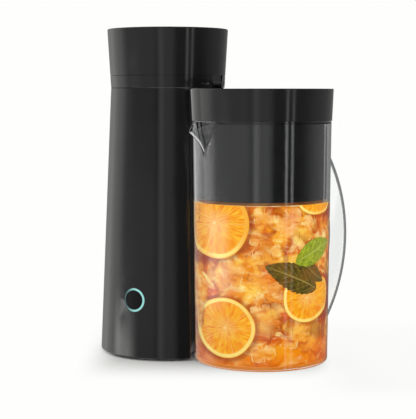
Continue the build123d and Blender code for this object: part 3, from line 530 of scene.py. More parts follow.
# %% Textured black
def black_matte(graph):
    """Dark grey tint and bump from one fine grain."""
    grain, tint = graph.grained(2600.0, "#161617", "#222223", 3.0, 0.6)
    return graph.principled(Base_Color=tint, Roughness=0.55,
                            Normal=graph.bump(grain, 0.35, 0.0002))


dress("black_matte", black_matte)

# %% [markdown]
# ## Smoked basket
#
# The brew basket hangs inside the clear pitcher and is seen through its wall. It is a darker
# and smoother plastic than the tower's, so that the bands of the studio stay crisp on it.

# %% Smoked plastic
def smoke_plastic(graph):
    """Black tint that drifts, low roughness, and a faint bump."""
    drift, tint = graph.grained(40.0, "#0D0D0E", "#131315")
    roughness = drift.smooth(0.4, 0.7, 0.08, 0.12)
    dents = graph.noise(graph.coordinates(), 120.0, 1.0)
    return graph.principled(Base_Color=tint, Roughness=roughness, IOR=1.5,
                            Normal=graph.bump(dents, 0.03, 0.0003))


dress("smoke_plastic", smoke_plastic)

# %% [markdown]
# ## Clear pitcher
#
# The pitcher is clear plastic with a real wall, so it refracts, and its rims are painted grey
# where the view grazes them, as painted shade for the darker surroundings such a wall shows.
# Layer Weight gives that painted shade. Light on its way to the drink passes a plain
# transparent shader, because light bent twice by a thin wall arrives as noise.

# %% Clear plastic
def clear_plastic(graph):
    """Clear, with a pale tint painted grey at grazing angles as shade; open to shadow and diffuse
    rays.
    """
    haze, tint = graph.grained(26.0, "#F6F8F8", "#FAFBFB", 3.0)
    facing = graph.out("ShaderNodeLayerWeight", inputs={"Blend": 0.5}, output=1)
    # Painted shade: the tint turns grey at grazing angles, for the darker surroundings a grazing
    # clear wall shows.
    tint = graph.mix(facing.smooth(0.62, 0.95), tint, "#7E8486")
    body = graph.principled(Base_Color=tint, Roughness=haze.smooth(0.45, 0.8, 0.0, 0.03),
                            IOR=1.46, Transmission_Weight=1.0)
    open_way = graph.out("ShaderNodeBsdfTransparent", inputs={"Color": "#F6F7F7"})
    lighting = graph.ray("Is Shadow Ray").math("MAXIMUM", graph.ray("Is Diffuse Ray"))
    return graph.shader_mix(lighting, body, open_way)


dress("clear_plastic", clear_plastic)

# %% [markdown]
# ## Handle
#
# The handle is a broad clear strap bent into a bow. Its flat sides show the backdrop, and its
# two narrow edges read as one grey line of painted shade, for the darker surroundings that a
# thick clear edge bends into view. The surface's own direction tells the edges from the flat
# sides.

# %% Clear strap with grey edges
HANDLE_TURN = math.radians(61.0)     # compass direction in which the bow stands out


def handle_plastic(graph):
    """Clear plastic, mixed to a grey of painted shade where the surface looks along the strap's
    width.
    """
    x, y, z = graph.parts(graph.coordinates("Normal"))
    sideways = x * math.sin(HANDLE_TURN) - y * math.cos(HANDLE_TURN)
    edge = sideways.math("ABSOLUTE").smooth(0.80, 0.96)
    # Painted shade: an opaque grey on the strap's edges, in place of what a clear edge refracts.
    haze, tint = graph.grained(60.0, "#7D8183", "#8B8F91")
    grey = graph.principled(Base_Color=tint, Roughness=0.18, IOR=1.46)
    return graph.shader_mix(edge * 0.97, clear_plastic(graph), grey)


dress_pieces(handle_plastic, "pitcher_handle")

# %% [markdown]
# ## Water tank
#
# The tank under the cap is natural polypropylene: milky, soft in gloss, and a little glowing
# within. A small subsurface weight gives the milkiness, and a cloud of noise keeps it uneven.

# %% Milky plastic
def tank_plastic(graph):
    """Pale grey cloud, soft gloss, some subsurface."""
    cloud, tint = graph.grained(30.0, "#CFD1D0", "#DEDFDE", 3.0)
    grain = graph.noise(graph.coordinates(), 900.0)
    return graph.principled(Base_Color=tint, Roughness=0.38, Subsurface_Weight=0.25,
                            Subsurface_Scale=0.004, Normal=graph.bump(grain, 0.2, 0.0002))


dress("tank_plastic", tank_plastic)

# %% [markdown]
# ## Rubber and silicone
#
# The feet and the cord gland are black rubber, dusty and without gloss. The seals and the hose
# are translucent silicone, which takes a little subsurface and a satin gloss.

# %% Black rubber
def black_rubber(graph):
    """Soft black with a fine grain."""
    grain, tint = graph.grained(1500.0, "#141414", "#1D1D1D")
    return graph.principled(Base_Color=tint, Roughness=0.75,
                            Normal=graph.bump(grain, 0.4, 0.0002))


dress("black_rubber", black_rubber)

# %% Silicone
def silicone(graph):
    """Translucent off-white with a soft cloud."""
    cloud, tint = graph.grained(80.0, "#D9D9D2", "#E6E6E0")
    return graph.principled(Base_Color=tint, Roughness=0.42, Subsurface_Weight=0.4,
                            Subsurface_Scale=0.002, Normal=graph.bump(cloud, 0.1, 0.0003))


dress("silicone", silicone)

# %% [markdown]
# ## Light ring
#
# A diffuser ring round the button is lit from behind by a lamp on its right, so it is bright
# and full there, and dim and thin on the left. One mask follows the side, and another narrows
# the lit part of the ring where it is dim. A lamp behind it would do it too, with much noise.

# %% Teal diffuser
BAND_RADIUS = 10.1 * MM       # middle of the lit band


def teal_lens(graph):
    """Tint and glow rise from left to right, and the lit band narrows towards the left."""
    x, y, z = graph.parts(graph.coordinates())
    centre = middle("light_ring")
    side, up = x - float(centre.x), z - float(centre.z)
    off_band = ((side * side + up * up).math("SQRT") - BAND_RADIUS).math("ABSOLUTE")
    narrowed = side.smooth(-1 * MM, -9 * MM) * off_band.smooth(0.2 * MM, 0.75 * MM) * 0.85
    lit = side.smooth(-11 * MM, 4 * MM, 0.10, 1.0) * (1 - narrowed)
    tint = graph.mix(lit, "#14282A", "#92D2CE")
    grain = graph.noise(graph.coordinates(), 700.0)
    return graph.principled(Base_Color=tint, Roughness=0.35, Emission_Color=tint,
                            Emission_Strength=0.32, Normal=graph.bump(grain, 0.05, 0.0002))


dress("teal_lens", teal_lens)

# %% [markdown]
# ## Metals
#
# The hinge pin, clips, screws and the filter are drawn or rolled stainless steel, with fine
# lines along one direction. The heater is an aluminium casting, whose skin has small pits.

# %% Stainless steel
def steel(graph):
    """Metal with roughness and bump from noise drawn out along Y."""
    drawn = graph.vector("MULTIPLY", graph.coordinates(), (900.0, 60.0, 900.0))
    lines = graph.noise(drawn, 1.0, 3.0)
    tint = graph.mix(lines, "#B9BABC", "#D2D3D5")
    roughness = lines.smooth(0.3, 0.7, 0.22, 0.36)
    return graph.principled(Base_Color=tint, Metallic=1.0, Roughness=roughness,
                            Normal=graph.bump(lines, 0.15, 0.0001))


dress("steel", steel)

# %% Cast aluminium
def cast_aluminium(graph):
    """Matte metal with pits from cells and a cloudy tone."""
    cloud, tint = graph.grained(90.0, "#B4B6B8", "#CDCFD1", 3.0)
    pits = graph.voronoi(graph.coordinates(), 900.0)
    return graph.principled(Base_Color=tint, Metallic=0.9, Roughness=0.46,
                            Normal=graph.bump(pits, 0.3, 0.0002))


dress("cast_aluminium", cast_aluminium)

# %% [markdown]
# ## Circuit board and white nylon
#
# The control board is green laminate under lacquer, with copper runs that show as lighter
# lines; the borders of stretched cells make such lines. The small holders are white nylon.

# %% Laminate
def board_green(graph):
    """Green with lighter runs along the cell borders, under a thin coat."""
    cells = graph.vector("MULTIPLY", graph.coordinates(), (260.0, 1.0, 260.0))
    track = graph.voronoi(cells, 1.0, "DISTANCE_TO_EDGE").smooth(0.03, 0.06)
    tint = graph.mix(track, "#3F7A4A", "#1E4D2E")
    return graph.principled(Base_Color=tint, Roughness=0.35, Coat_Weight=0.4,
                            Normal=graph.bump(track, 0.2, 0.0001))


dress("board_green", board_green)

# %% White nylon
def white_plastic(graph):
    """Warm white with a fine grain."""
    grain, tint = graph.grained(600.0, "#E2E2DE", "#EEEEEB")
    return graph.principled(Base_Color=tint, Roughness=0.4, Subsurface_Weight=0.1,
                            Subsurface_Scale=0.001, Normal=graph.bump(grain, 0.1, 0.0002))


dress("white_plastic", white_plastic)

# %% Pieces left without a finish
bare = [node for node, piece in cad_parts.items()
        if not all(place.material.name.endswith("_finish") for place in piece.material_slots)]
print("CAD pieces without a finish:", bare)

# %% [markdown]
# ## Surfaces of two parameters
#
# The drink could be modelled by hand, but fruit and ice pressed on a round wall are easier to
# work out: every new piece is a net of points from a formula, or a profile turned about the
# pitcher's axis. The net is joined into quads, its doubled points are merged so that poles
# close, and its faces are turned outwards.

# %% Net of points
SAME_POINT = 0.0002 * MM      # points closer than this become one


def net(name, points, close_u=False, close_v=False, uv=None):
    """Mesh over points[u, v], joined into quads, with an optional UV from the same net."""
    count_u, count_v = points.shape[:2]
    u = np.arange(count_u if close_u else count_u - 1)
    v = np.arange(count_v if close_v else count_v - 1)
    u, v = np.meshgrid(u, v, indexing="ij")
    next_u, next_v = (u + 1) % count_u, (v + 1) % count_v
    corners = ((u, v), (next_u, v), (next_u, next_v), (u, next_v))
    faces = np.stack([row * count_v + place for row, place in corners], -1).reshape(-1, 4)
    mesh = bpy.data.meshes.new(name)
    mesh.vertices.add(count_u * count_v)
    mesh.vertices.foreach_set("co", points.reshape(-1).astype(np.float32))
    mesh.loops.add(faces.size)
    mesh.loops.foreach_set("vertex_index", faces.reshape(-1).astype(np.int32))
    mesh.polygons.add(len(faces))
    mesh.polygons.foreach_set("loop_start", np.arange(0, faces.size, 4, dtype=np.int32))
    mesh.update(calc_edges=True)
    if uv is not None:
        at_corners = uv.reshape(-1, 2)[faces.reshape(-1)].astype(np.float32)
        mesh.uv_layers.new(name="UVMap").data.foreach_set("uv", at_corners.reshape(-1))
    shape = bmesh.new()
    shape.from_mesh(mesh)
    bmesh.ops.remove_doubles(shape, verts=shape.verts, dist=SAME_POINT)
    bmesh.ops.recalc_face_normals(shape, faces=shape.faces)
    for face in shape.faces:
        face.smooth = True
    shape.to_mesh(mesh)
    shape.free()
    piece = bpy.data.objects.new(name, mesh)
    bpy.context.scene.collection.objects.link(piece)
    return piece


def put(piece, finish):
    """Gives a piece of the drink its finish and the body that carries it."""
    piece.data.materials.append(finish)
    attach(piece, "pitcher")
    return piece


print("points within", round(SAME_POINT / MM, 5), "mm are merged")

# %% [markdown]
# ## Inside of the pitcher
#
# The pitcher's wall is a straight taper, and the drink follows the inside of that taper. A
# place on it is said by how far round, how high and how deep it lies, as on a rolled map.

# %% Taper of the wall
WALL_BASE = 62.7 * MM         # pitcher's outer radius at the worktop
WALL_SHOULDER = 64.9 * MM     # and at its shoulder
SHOULDER_Z = 224.6 * MM       # height of the shoulder
WALL = 2.6 * MM               # thickness of the pitcher's wall
FLOOR_TOP = 4.0 * MM          # inside floor of the pitcher
TEA_TOP = 150.8 * MM          # surface of the tea
FRONT = math.radians(-63.5)   # side of the pitcher that faces the camera


def inner_radius(z):
    """Radius of the pitcher's inside: the outer one, which grows evenly with z, less the wall."""
    return WALL_BASE - WALL + (WALL_SHOULDER - WALL_BASE) * z / SHOULDER_Z


print("inside radius at the tea's top", round(inner_radius(TEA_TOP), 5))

# %% Places on the wall
CONTACT = 0.03 * MM           # the drink is pressed so far into the wall, to leave no air
TEA_LOW = FLOOR_TOP + 3.4 * MM       # lowest place for fruit and ice, over the rounded foot
TEA_HIGH = TEA_TOP - 0.2 * MM        # highest, just under the surface
STRAIGHT_FROM = 0.93          # share of the radius past which an offset isn't bent any more


def round_axis(angle, radius, height):
    """Points at a compass angle, a distance from the pitcher's axis and a height."""
    return np.stack(np.broadcast_arrays(pitcher_axis.x + radius * np.cos(angle),
                                        pitcher_axis.y + radius * np.sin(angle), height), -1)


def on_wall(across, height, depth):
    """Points on the pitcher's inside; the angle is FRONT plus the arc length over the radius."""
    radius = inner_radius(height)
    return round_axis(FRONT + across / radius, radius - depth, height)


def wrap(offset):
    """Arc length on the wall of a flat offset seen from the front: an arcsine, then straight on."""
    radius = (WALL_BASE + WALL_SHOULDER) / 2
    reach = STRAIGHT_FROM * radius
    held = np.clip(offset, -reach, reach)
    return (np.arcsin(held / radius) * radius + offset - held) * (radius - WALL) / radius


def thick(front, back):
    """Closed net: rings run out from the front's middle, and back in to the back's middle."""
    return np.concatenate([front, back[::-1]])


print("an offset of 40 mm lies", round(float(wrap(40 * MM)) / MM, 1), "mm along the wall")

# %% [markdown]
# ## Where the slices and the light and dark places lie
#
# The fruit's places are settled before the tea's colour, because each slice throws a soft
# painted shadow into the tea around it. They could fall at random, but the front ones stand
# where the photograph has them. The spots are the few large dark and bright places in the tea;
# the pale one at -28 across and 88 high is a painted reflection of light on the pitcher's wall.

# %% Places in the drink, in millimetres
# The pith's orange share is painted shade on each slice's upper right.
SLICES = [                    # radians round, across, height, radius, share of orange in the pith
    (0.0, -43.5, 134.0, 32.5, 0.9),
    (0.0, -33.5, 38.8, 27.8, 0.0),
    (0.0, 42.5, 66.0, 22.5, 0.7),
    (0.0, 51.0, 160.5, 19.5, 0.3),
    (2.2, 0.0, 52.0, 28.0, 0.0),
    (3.1, 6.0, 112.0, 30.0, 0.5),
    (4.2, 0.0, 72.0, 27.0, 0.2),
    (2.6, -20.0, 128.0, 24.0, 0.6),
]
SPOTS = [                     # across, height, half width, half height, colour, strength
    (-54.0, 101.0, 13.0, 10.0, "#98290C", 0.75),
    (8.0, 84.0, 17.0, 15.0, "#E2600C", 0.65),
    (12.0, 59.0, 11.0, 5.0, "#8E2A0A", 0.70),
    (50.0, 34.0, 15.0, 9.0, "#9A5C18", 0.60),
    (-53.0, 12.0, 16.0, 8.0, "#C8400C", 0.60),
    (2.0, 112.0, 9.0, 12.0, "#C2480C", 0.50),
    (-28.0, 72.0, 12.0, 7.0, "#F4A032", 0.55),
    (4.0, 44.0, 10.0, 12.0, "#F8BE66", 0.55),
    (28.0, 133.0, 8.0, 16.0, "#F09468", 0.60),
    # Painted reflection: the glare of light on the pitcher's wall.
    (-28.0, 88.0, 9.0, 20.0, "#F4B08A", 0.55),
    (10.0, 20.0, 26.0, 8.0, "#F8A41E", 0.55),
]
print(len(SLICES), "slices and", len(SPOTS), "spots placed")

# %% [markdown]
# ## Colour of the tea
#
# Iced tea with light behind it glows amber. Drowned ice breaks the light into soft lumps with
# bright crescents under them and red-brown gaps between: the yellow and pink lumps, the bright
# streaks, flecks and crescents are painted highlights, and the gaps are painted shade. The
# colour is a function of the place alone, so that ice and tea can share it and melt into each
# other.

# %% Distance from a spot on the pitcher's front
def away(graph, spot, across, height, half_width, half_height):
    """0 in the middle of an ellipse and 1 on its edge, the sum of both squares under a root."""
    x, y, z = graph.parts(spot)
    x, y = x - float(pitcher_axis.x), y - float(pitcher_axis.y)
    wide = (y * math.cos(FRONT) - x * math.sin(FRONT) - across * MM) / (half_width * MM)
    tall = (z - height * MM) / (half_height * MM)
    return (wide * wide + tall * tall).math("SQRT")


print("the pitcher's front faces", round(math.degrees(FRONT), 1), "degrees")

# %% Amber colour by place
LUMPS = 40.0                  # lumps of light to a metre
BEND = (0.020, 0.020, 0.016)  # how far noise bends them
CENTRE_BEND = (-0.010, -0.010, -0.008)      # takes the bend's middle back, for the spots


def tea_colour(graph):
    """Painted highlights as lumps from bent cells and as streaks from noise, painted shade in the
    gaps, redder towards the floor.
    """
    place = graph.coordinates()
    x, y, z = graph.parts(place)
    bent = graph.vector("MULTIPLY_ADD", graph.noise(place, 42.0, output=1), BEND, place)
    lower = graph.vector("ADD", bent, (0.0, 0.0, 0.0016))
    edge = graph.voronoi(bent, LUMPS, "DISTANCE_TO_EDGE").smooth(0.0, 0.30)
    edge_below = graph.voronoi(lower, LUMPS, "DISTANCE_TO_EDGE").smooth(0.0, 0.30)
    lump, lump_red, lump_pink = graph.parts(graph.voronoi(bent, LUMPS, output="Color"))
    streaks = graph.noise(graph.vector("MULTIPLY", bent, (1.0, 1.0, 1.5)), 46.0, 4.0, 0.55, 0.8)
    glint_flecks = graph.noise(graph.vector("MULTIPLY", bent, (1.0, 1.0, 1.8)), 100.0, 3.0, 0.55, 0.7)
    broad = graph.noise(place, 24.0, 1.0)
    gap_shade = edge.smooth(0.45, 0.0) * broad.smooth(0.62, 0.40)
    crescent_highlight = (edge - edge_below).smooth(0.04, 0.26) * glint_flecks.smooth(0.36, 0.60)
    # Painted light: yellow and pink lumps, bright streaks, glinting flecks and crescents are
    # painted highlights; the gaps are painted shade.
    tint = graph.paint(
        graph.mix(broad.smooth(0.38, 0.62), "#D85508", "#F59A12"),
        (lump.smooth(0.40, 0.9) * 0.65, "#FDB83C"),
        (lump_red.smooth(0.55, 1.0) * 0.60, "#D24E0C"),
        (streaks.smooth(0.50, 0.68) * 0.80, "#FFCE52"),
        (streaks.smooth(0.48, 0.30) * 0.85, "#B03C08"),
        (glint_flecks.smooth(0.54, 0.76) * 0.60, "#FFE08A"),
        (gap_shade * 0.55, "#9A360C"),
        (crescent_highlight * 0.70, "#FFEA9C"),
        (lump_pink.smooth(0.7, 1.0) * 0.20, "#F09A6C"),
        (z.smooth(40 * MM, 8 * MM) * 0.50, "#EC6C08"),
    )
    centred = graph.vector("ADD", bent, CENTRE_BEND)
    for *ellipse, colour, strength in SPOTS:
        spot = away(graph, centred, *ellipse).smooth(1.15, 0.25)
        tint = graph.mix(spot * strength, tint, colour)
    for _, across, height, radius, _ in SLICES[:4]:
        shadow = away(graph, place, across + 1.5, height - 1.0, radius, radius).smooth(1.20, 1.0)
        tint = graph.mix(shadow * 0.60, tint, "#8C2C0C")
    return tint


print("lumps of", round(1 / LUMPS / MM), "mm")

# %% [markdown]
# ## Glow of the drink
#
# Real tea carries light through itself. That could be a volume, which is slow and grainy, so
# here it is a plain surface that gives out a part of its own colour, and most at its foot,
# where light from the floor comes in. What it throws back on the floor is neutral, because a
# stained floor isn't what the photograph shows.

# %% Glowing surface
OWN_LIGHT = 0.30              # share of the colour that it gives out


def drink_shader(graph, tint, normal=None):
    """Plain surface of that colour that glows; scattered rays find a neutral one."""
    x, y, z = graph.parts(graph.coordinates())
    glow = graph.paint(graph.mix(OWN_LIGHT, "#000000", tint),
                       (z.smooth(5.2 * MM, 4.0 * MM) * 0.7, "#E88A34"))
    drink = graph.principled(Base_Color=tint, Roughness=0.5, Specular_IOR_Level=0.0,
                             Emission_Color=glow, Emission_Strength=1.0, Normal=normal)
    neutral = graph.out("ShaderNodeBsdfDiffuse", inputs={"Color": "#B9B6B2"})
    return graph.shader_mix(graph.bounced("Diffuse"), drink, neutral)


print("the drink gives out", OWN_LIGHT, "of its colour")

# %% [markdown]
# ## Tea
#
# The tea could be cut from a cylinder. It is a turned body that touches the pitcher's inside
# all round, because a drink wets its wall and so shows right out to the pitcher's edge. Its
# surface climbs the wall a little, and a painted highlight runs there as a pale line.

# %% Half section of the tea
FOOT_ROUND = 3.5 * MM         # round between the tea's foot and its side
CLIMB = 1.1 * MM              # how far the surface climbs the wall
CLIMB_REACH = 2 * MM          # and how far in from the wall that dies away


def tea_profile():
    """Quarter circle, then the wall's taper, then a surface that falls off as an exponential."""
    foot = FLOOR_TOP - CONTACT
    turn = np.linspace(-math.pi / 2, 0, 8)
    start = inner_radius(foot) + CONTACT - FOOT_ROUND
    bend = np.stack([start + FOOT_ROUND * np.cos(turn),
                     foot + FOOT_ROUND + FOOT_ROUND * np.sin(turn)], -1)
    heights = np.linspace(foot + FOOT_ROUND, TEA_TOP, 40)[1:]
    side = np.stack([inner_radius(heights) + CONTACT, heights], -1)
    inset = np.linspace(0.3 * MM, 6 * MM, 8)
    fall = CLIMB * (1 - np.exp(-inset / CLIMB_REACH))
    edge = np.stack([inner_radius(TEA_TOP) - inset, TEA_TOP - fall], -1)
    return np.concatenate([[[0, foot]], bend, side, edge, [[0, edge[-1, 1]]]])


print(len(tea_profile()), "points in the tea's half section")

# %% Turned body of tea
TURN_STEPS = 256


def turned(name, profile):
    """Body turned about the pitcher's axis: every (radius, height) of the profile at each angle."""
    angle = np.linspace(0, 2 * math.pi, TURN_STEPS + 1)[:-1, None]
    return net(name, round_axis(angle, profile[:, 0], profile[:, 1]), close_u=True)


def tea_shader(graph):
    """Tea's colour, with a painted highlight as a pale line where its surface climbs the wall."""
    x, y, z = graph.parts(graph.coordinates())
    line = z.smooth(TEA_TOP - 1.3 * MM, TEA_TOP - 0.5 * MM)
    patchy = graph.noise(graph.coordinates(), 55.0).smooth(0.35, 0.6)
    under = z.smooth(TEA_TOP - 4.0 * MM, TEA_TOP - 2.0 * MM) * (1 - line)
    # Painted highlight: the pale line along the wall at the tea's surface.
    tint = graph.paint(tea_colour(graph),
                       (line * patchy * 0.85, "#FFE3A4"),
                       (under * 0.35, "#B4480E"))
    return drink_shader(graph, tint)


tea = put(turned("drink_tea", tea_profile()), material("tea", tea_shader))
print("tea", len(tea.data.polygons), "faces, top at", round(TEA_TOP / MM, 1), "mm")

# %% [markdown]
# ## Orange slices
#
# A slice is a flat round that lies against the wall. Its face has a pale pith ring inside a
# thin rind, ten segments with faint walls, and fine juice sacs that run outward from the
# middle. Each segment could be a mesh, but behind tea only its colour shows. So the net is a
# disc in rings, and its UV gives the finish the radius and the angle.

# %% Discs on the wall
SLICE_DEPTH = 3.5 * MM


def slice_side(facing, across, height, radius, depth_in):
    """Rings of a disc, made uneven by two sines, wrapped on the wall, cut at the tea's top."""
    ring = np.linspace(0, 1, 22)[:, None] * radius
    turn = np.linspace(0, 2 * math.pi, 97)[:-1][None, :]
    uneven = 1 + 0.012 * np.sin(3 * turn + across * 900) + 0.008 * np.sin(5 * turn + 1.3)
    flat_x, flat_y = ring * uneven * np.cos(turn), ring * uneven * np.sin(turn)
    level = np.clip(height + flat_y, TEA_LOW, TEA_HIGH)
    points = on_wall(facing * inner_radius(height) + wrap(across + flat_x), level, depth_in)
    cut = np.clip(ring * np.sin(turn), TEA_LOW - height, TEA_TOP - height)
    return points, np.stack([ring * np.cos(turn), cut], -1) / radius


def orange_slice(name, facing, across, height, radius, finish, lift):
    """Closed slice whose face lies on the wall."""
    face, face_uv = slice_side(facing, across, height, radius, -lift)
    back, back_uv = slice_side(facing, across, height, radius * 0.985, SLICE_DEPTH)
    return put(net(name, thick(face, back), close_v=True, uv=thick(face_uv, back_uv)), finish)


print("slices", round(SLICE_DEPTH / MM, 1), "mm thick")

# %% Pulp, pith and rind
SEGMENTS = 10


def slice_shader(graph, pith_shade):
    """Face of an orange slice, from its own UV: x and y run from -1 to 1."""
    flat, place = graph.coordinates("UV"), graph.coordinates()
    x, y, z = graph.parts(flat)
    reach = (x * x + y * y).math("SQRT")
    wobble = graph.noise(flat, 2.6) - 0.5
    blush = graph.noise(place, 60.0)
    turns = (y.math("ARCTAN2", x) + wobble * 0.22) * (SEGMENTS / (2 * math.pi))
    wall = (turns.math("FRACT") - 0.5).math("ABSOLUTE")
    membrane = wall.smooth(0.455, 0.495) * reach.smooth(0.06, 0.22) * blush.smooth(0.35, 0.65)
    outward = {"X": x / (reach + 0.02) * 9.0, "Y": y / (reach + 0.02) * 9.0, "Z": reach * 1.5}
    sacs = graph.noise(graph.out("ShaderNodeCombineXYZ", inputs=outward), 2.1, 3.0, 0.62)
    edge = reach + wobble * 0.035
    pith = edge.smooth(0.845, 0.885)
    pith_strength = graph.noise(place, 34.0, 1.0).smooth(0.28, 0.52, 0.45, 1.0)
    tint = graph.paint(
        graph.mix(sacs.smooth(0.30, 0.70), "#F08204", "#FFC02C"),
        (blush.smooth(0.52, 0.72) * 0.5, "#EA780A"),
        (reach.smooth(0.55, 0.0) * 0.60, "#FFC872"),
        (sacs.smooth(0.58, 0.74) * reach.smooth(0.9, 0.1) * 0.45, "#FFD9A0"),
        (sacs.smooth(0.47, 0.30) * reach.smooth(0.85, 0.15) * 0.85, "#C4541A"),
        (membrane * 0.40, "#FFD488"),
        (reach.smooth(0.07, 0.02) * 0.5, "#FFDFA0"),
        # Painted shade: the pith turns orange towards its upper right, by a share given for each
        # slice.
        (pith * pith_strength, graph.mix((x + y).smooth(-0.5, 0.8) * pith_shade, "#FFE07A", "#F6A82C")),
        (edge.smooth(0.965, 0.985) * 0.8, "#F3A01C"),
    )
    relief = sacs * 0.5 + membrane * 0.6 + pith
    return drink_shader(graph, tint, normal=graph.bump(relief, 0.3, 0.0006))


slices = [
    orange_slice(f"orange_slice_{index}", facing, across * MM, height * MM, radius * MM,
                 material(f"orange_slice_{index}", lambda graph: slice_shader(graph, pith_shade)),
                 CONTACT + 0.02 * MM)
    for index, (facing, across, height, radius, pith_shade) in enumerate(SLICES)
]
print(len(slices), "orange slices,", len(slices[0].data.polygons), "faces each")

# %% [markdown]
# ## Ice
#
# Ice cubes pressed on the wall show as pale, warm patches. Most of each cube is drowned, so
# its outline is lost in the tea and only a painted highlight on its upper part and a milky core
# stand out. A cube with bevelled edges would show too much outline. A superellipse gives the
# rounded square, and its finish is the tea's own colour at the rim, with thin painted highlight
# lines inside the rim and painted shade along it in places.

# %% Rounded blocks on the wall
SQUARENESS = 4.5              # 2 is an ellipse, more is squarer
ICE_DEPTH = 12 * MM


def ice_side(across, height, half_width, half_height, turn, depth):
    """Rings of a superellipse, each a power of cosine and sine, turned by an angle on the wall."""
    ring = np.linspace(0, 1, 14)[:, None]
    angle = np.linspace(0, 2 * math.pi, 65)[:-1][None, :]
    box_x, box_y = (ring * np.sign(wave) * np.abs(wave) ** (2 / SQUARENESS)
                    for wave in (np.cos(angle), np.sin(angle)))
    flat_x, flat_y = box_x * half_width, box_y * half_height
    level = height + flat_x * math.sin(turn) + flat_y * math.cos(turn)
    side = across + flat_x * math.cos(turn) - flat_y * math.sin(turn)
    points = on_wall(side, np.clip(level, TEA_LOW, TEA_HIGH), depth)
    return points, np.stack([box_x, box_y], -1)


def ice_block(name, across, height, half_width, half_height, turn, finish, lift):
    """Closed block with its face on the wall and a back that is a little smaller."""
    face, face_uv = ice_side(across, height, half_width, half_height, turn, -lift)
    back, back_uv = ice_side(across, height, half_width * 0.9, half_height * 0.9, turn, ICE_DEPTH)
    return put(net(name, thick(face, back), close_v=True, uv=thick(face_uv, back_uv)), finish)


print("ice", round(ICE_DEPTH / MM), "mm thick")

# %% Drowned ice
def ice_shader(graph):
    """Milky core, painted highlights on the upper part, in its grain and inside the rim, painted
    shade along the rim, and tea colour at the rim.
    """
    x, y, z = graph.parts(graph.coordinates("UV"))
    place = graph.coordinates()
    square = x.math("ABSOLUTE").math("MAXIMUM", y.math("ABSOLUTE"))
    cloud = graph.noise(place, 48.0, 2.0, 0.5, 0.8)
    grain = graph.noise(graph.vector("MULTIPLY", place, (1.0, 1.0, 2.0)), 95.0, 3.0, 0.5, 0.7)
    core = square.smooth(1.0, 0.70)
    line = square.smooth(0.80, 0.87) * square.smooth(0.97, 0.90)
    line = line * grain.smooth(0.42, 0.60) * cloud.smooth(0.44, 0.60)
    # Painted light: the upper part, bright grain and thin lines inside the rim are painted
    # highlights; the dark rim is painted shade.
    tint = graph.paint(
        tea_colour(graph),
        (core * cloud.smooth(0.34, 0.62, 0.0, 0.60), "#F5A334"),
        (core * y.smooth(-0.1, 0.8) * cloud.smooth(0.42, 0.66) * 0.70, "#FCD28A"),
        (core * grain.smooth(0.48, 0.72) * 0.35, "#FFE29A"),
        (core * grain.smooth(0.48, 0.34) * 0.50, "#C85A10"),
        (line * 0.60, "#FFDF92"),
        (square.smooth(0.90, 0.97) * cloud.smooth(0.54, 0.40) * 0.50, "#A8420C"),
    )
    return drink_shader(graph, tint, normal=graph.bump(cloud, 0.15, 0.001))


ice_finish = material("ice", ice_shader)
print("ice finish of", len(ice_finish.node_tree.nodes), "nodes")

# %% Ice in front by place, and round the back by chance
RNG = np.random.default_rng(11)
ICE = [                       # across, height, half width, half height in millimetres, turn
    (3.0, 139.5, 10.5, 10.0, 0.05), (24.5, 133.0, 12.5, 17.0, -0.1), (54.0, 131.0, 14.0, 12.5, 0.1),
    (0.5, 121.5, 11.5, 8.0, -0.15), (21.0, 110.0, 13.0, 9.0, 0.25), (-44.0, 86.0, 13.5, 15.0, 0.05),
    (-26.0, 88.0, 10.5, 12.5, -0.3), (0.0, 53.0, 9.5, 9.0, 0.2), (-1.0, 83.0, 12.0, 9.5, -0.25),
    (20.0, 57.0, 11.5, 8.5, 0.12), (22.0, 30.0, 14.0, 9.5, -0.1), (-7.0, 103.0, 10.0, 7.0, 0.15),
    (2.0, 17.0, 12.0, 8.0, 0.2), (68.0, 97.0, 9.0, 9.0, 0.1), (16.0, 76.0, 9.0, 8.0, 0.35),
    (40.0, 37.0, 11.0, 8.0, -0.2),
]
ROUND_THE_BACK = [86.0 + 11.0 * step for step in range(22)]
CHANCE = ((18, 138), (9, 14), (8, 14), (-0.4, 0.4))     # height, half width, half height, turn
for across in ROUND_THE_BACK:
    ICE.append((across, *[float(RNG.uniform(low, high)) for low, high in CHANCE]))
blocks = [
    ice_block(f"ice_{index}", *[value * MM for value in row[:4]], row[4], ice_finish,
              CONTACT + (0.003 + 0.0004 * index) * MM)
    for index, row in enumerate(ICE)
]
print(len(blocks), "ice blocks,", len(blocks[0].data.polygons), "faces each")

# %% [markdown]
# ## Mint
#
# A mint leaf is broad, with a toothed edge, a strong midrib and side veins that curve towards
# the tip. A picture of a leaf on a card would do from the front, but an edge with real teeth
# also holds from the side. The net runs along the midrib and across it.

# %% Leaves on the wall
TEETH = 12
LEAF_DEPTH = 0.35 * MM


def leaf_side(base, tip, width, bow, depth):
    """Outline: a power of a sine along the midrib, times a saw-tooth that grows at the edge."""
    length = float(np.hypot(*(tip - base)))
    along = (tip - base) / length
    side = np.array([-along[1], along[0]])
    t = np.linspace(0.0, 1.0, 133)[:, None]       # along the midrib
    s = np.linspace(-1.0, 1.0, 25)[None, :]       # across it
    outline = np.sin(math.pi * t ** 0.86) ** 0.72 * (1 - 0.28 * t)
    saw = 1 + 0.13 * (((t - 0.08 * np.abs(s)) * TEETH) % 1.0) * np.abs(s) ** 5
    forward = t * length + 0.06 * length * s ** 2 * outline
    spread = s * width / 2 * outline * saw + bow * np.sin(math.pi * t)
    across = base[0] + along[0] * forward + side[0] * spread
    height = base[1] + along[1] * forward + side[1] * spread
    uv = np.stack([np.broadcast_to(t, across.shape), np.broadcast_to(s, across.shape)], -1)
    return on_wall(across, np.clip(height, TEA_LOW, TEA_HIGH), depth), uv


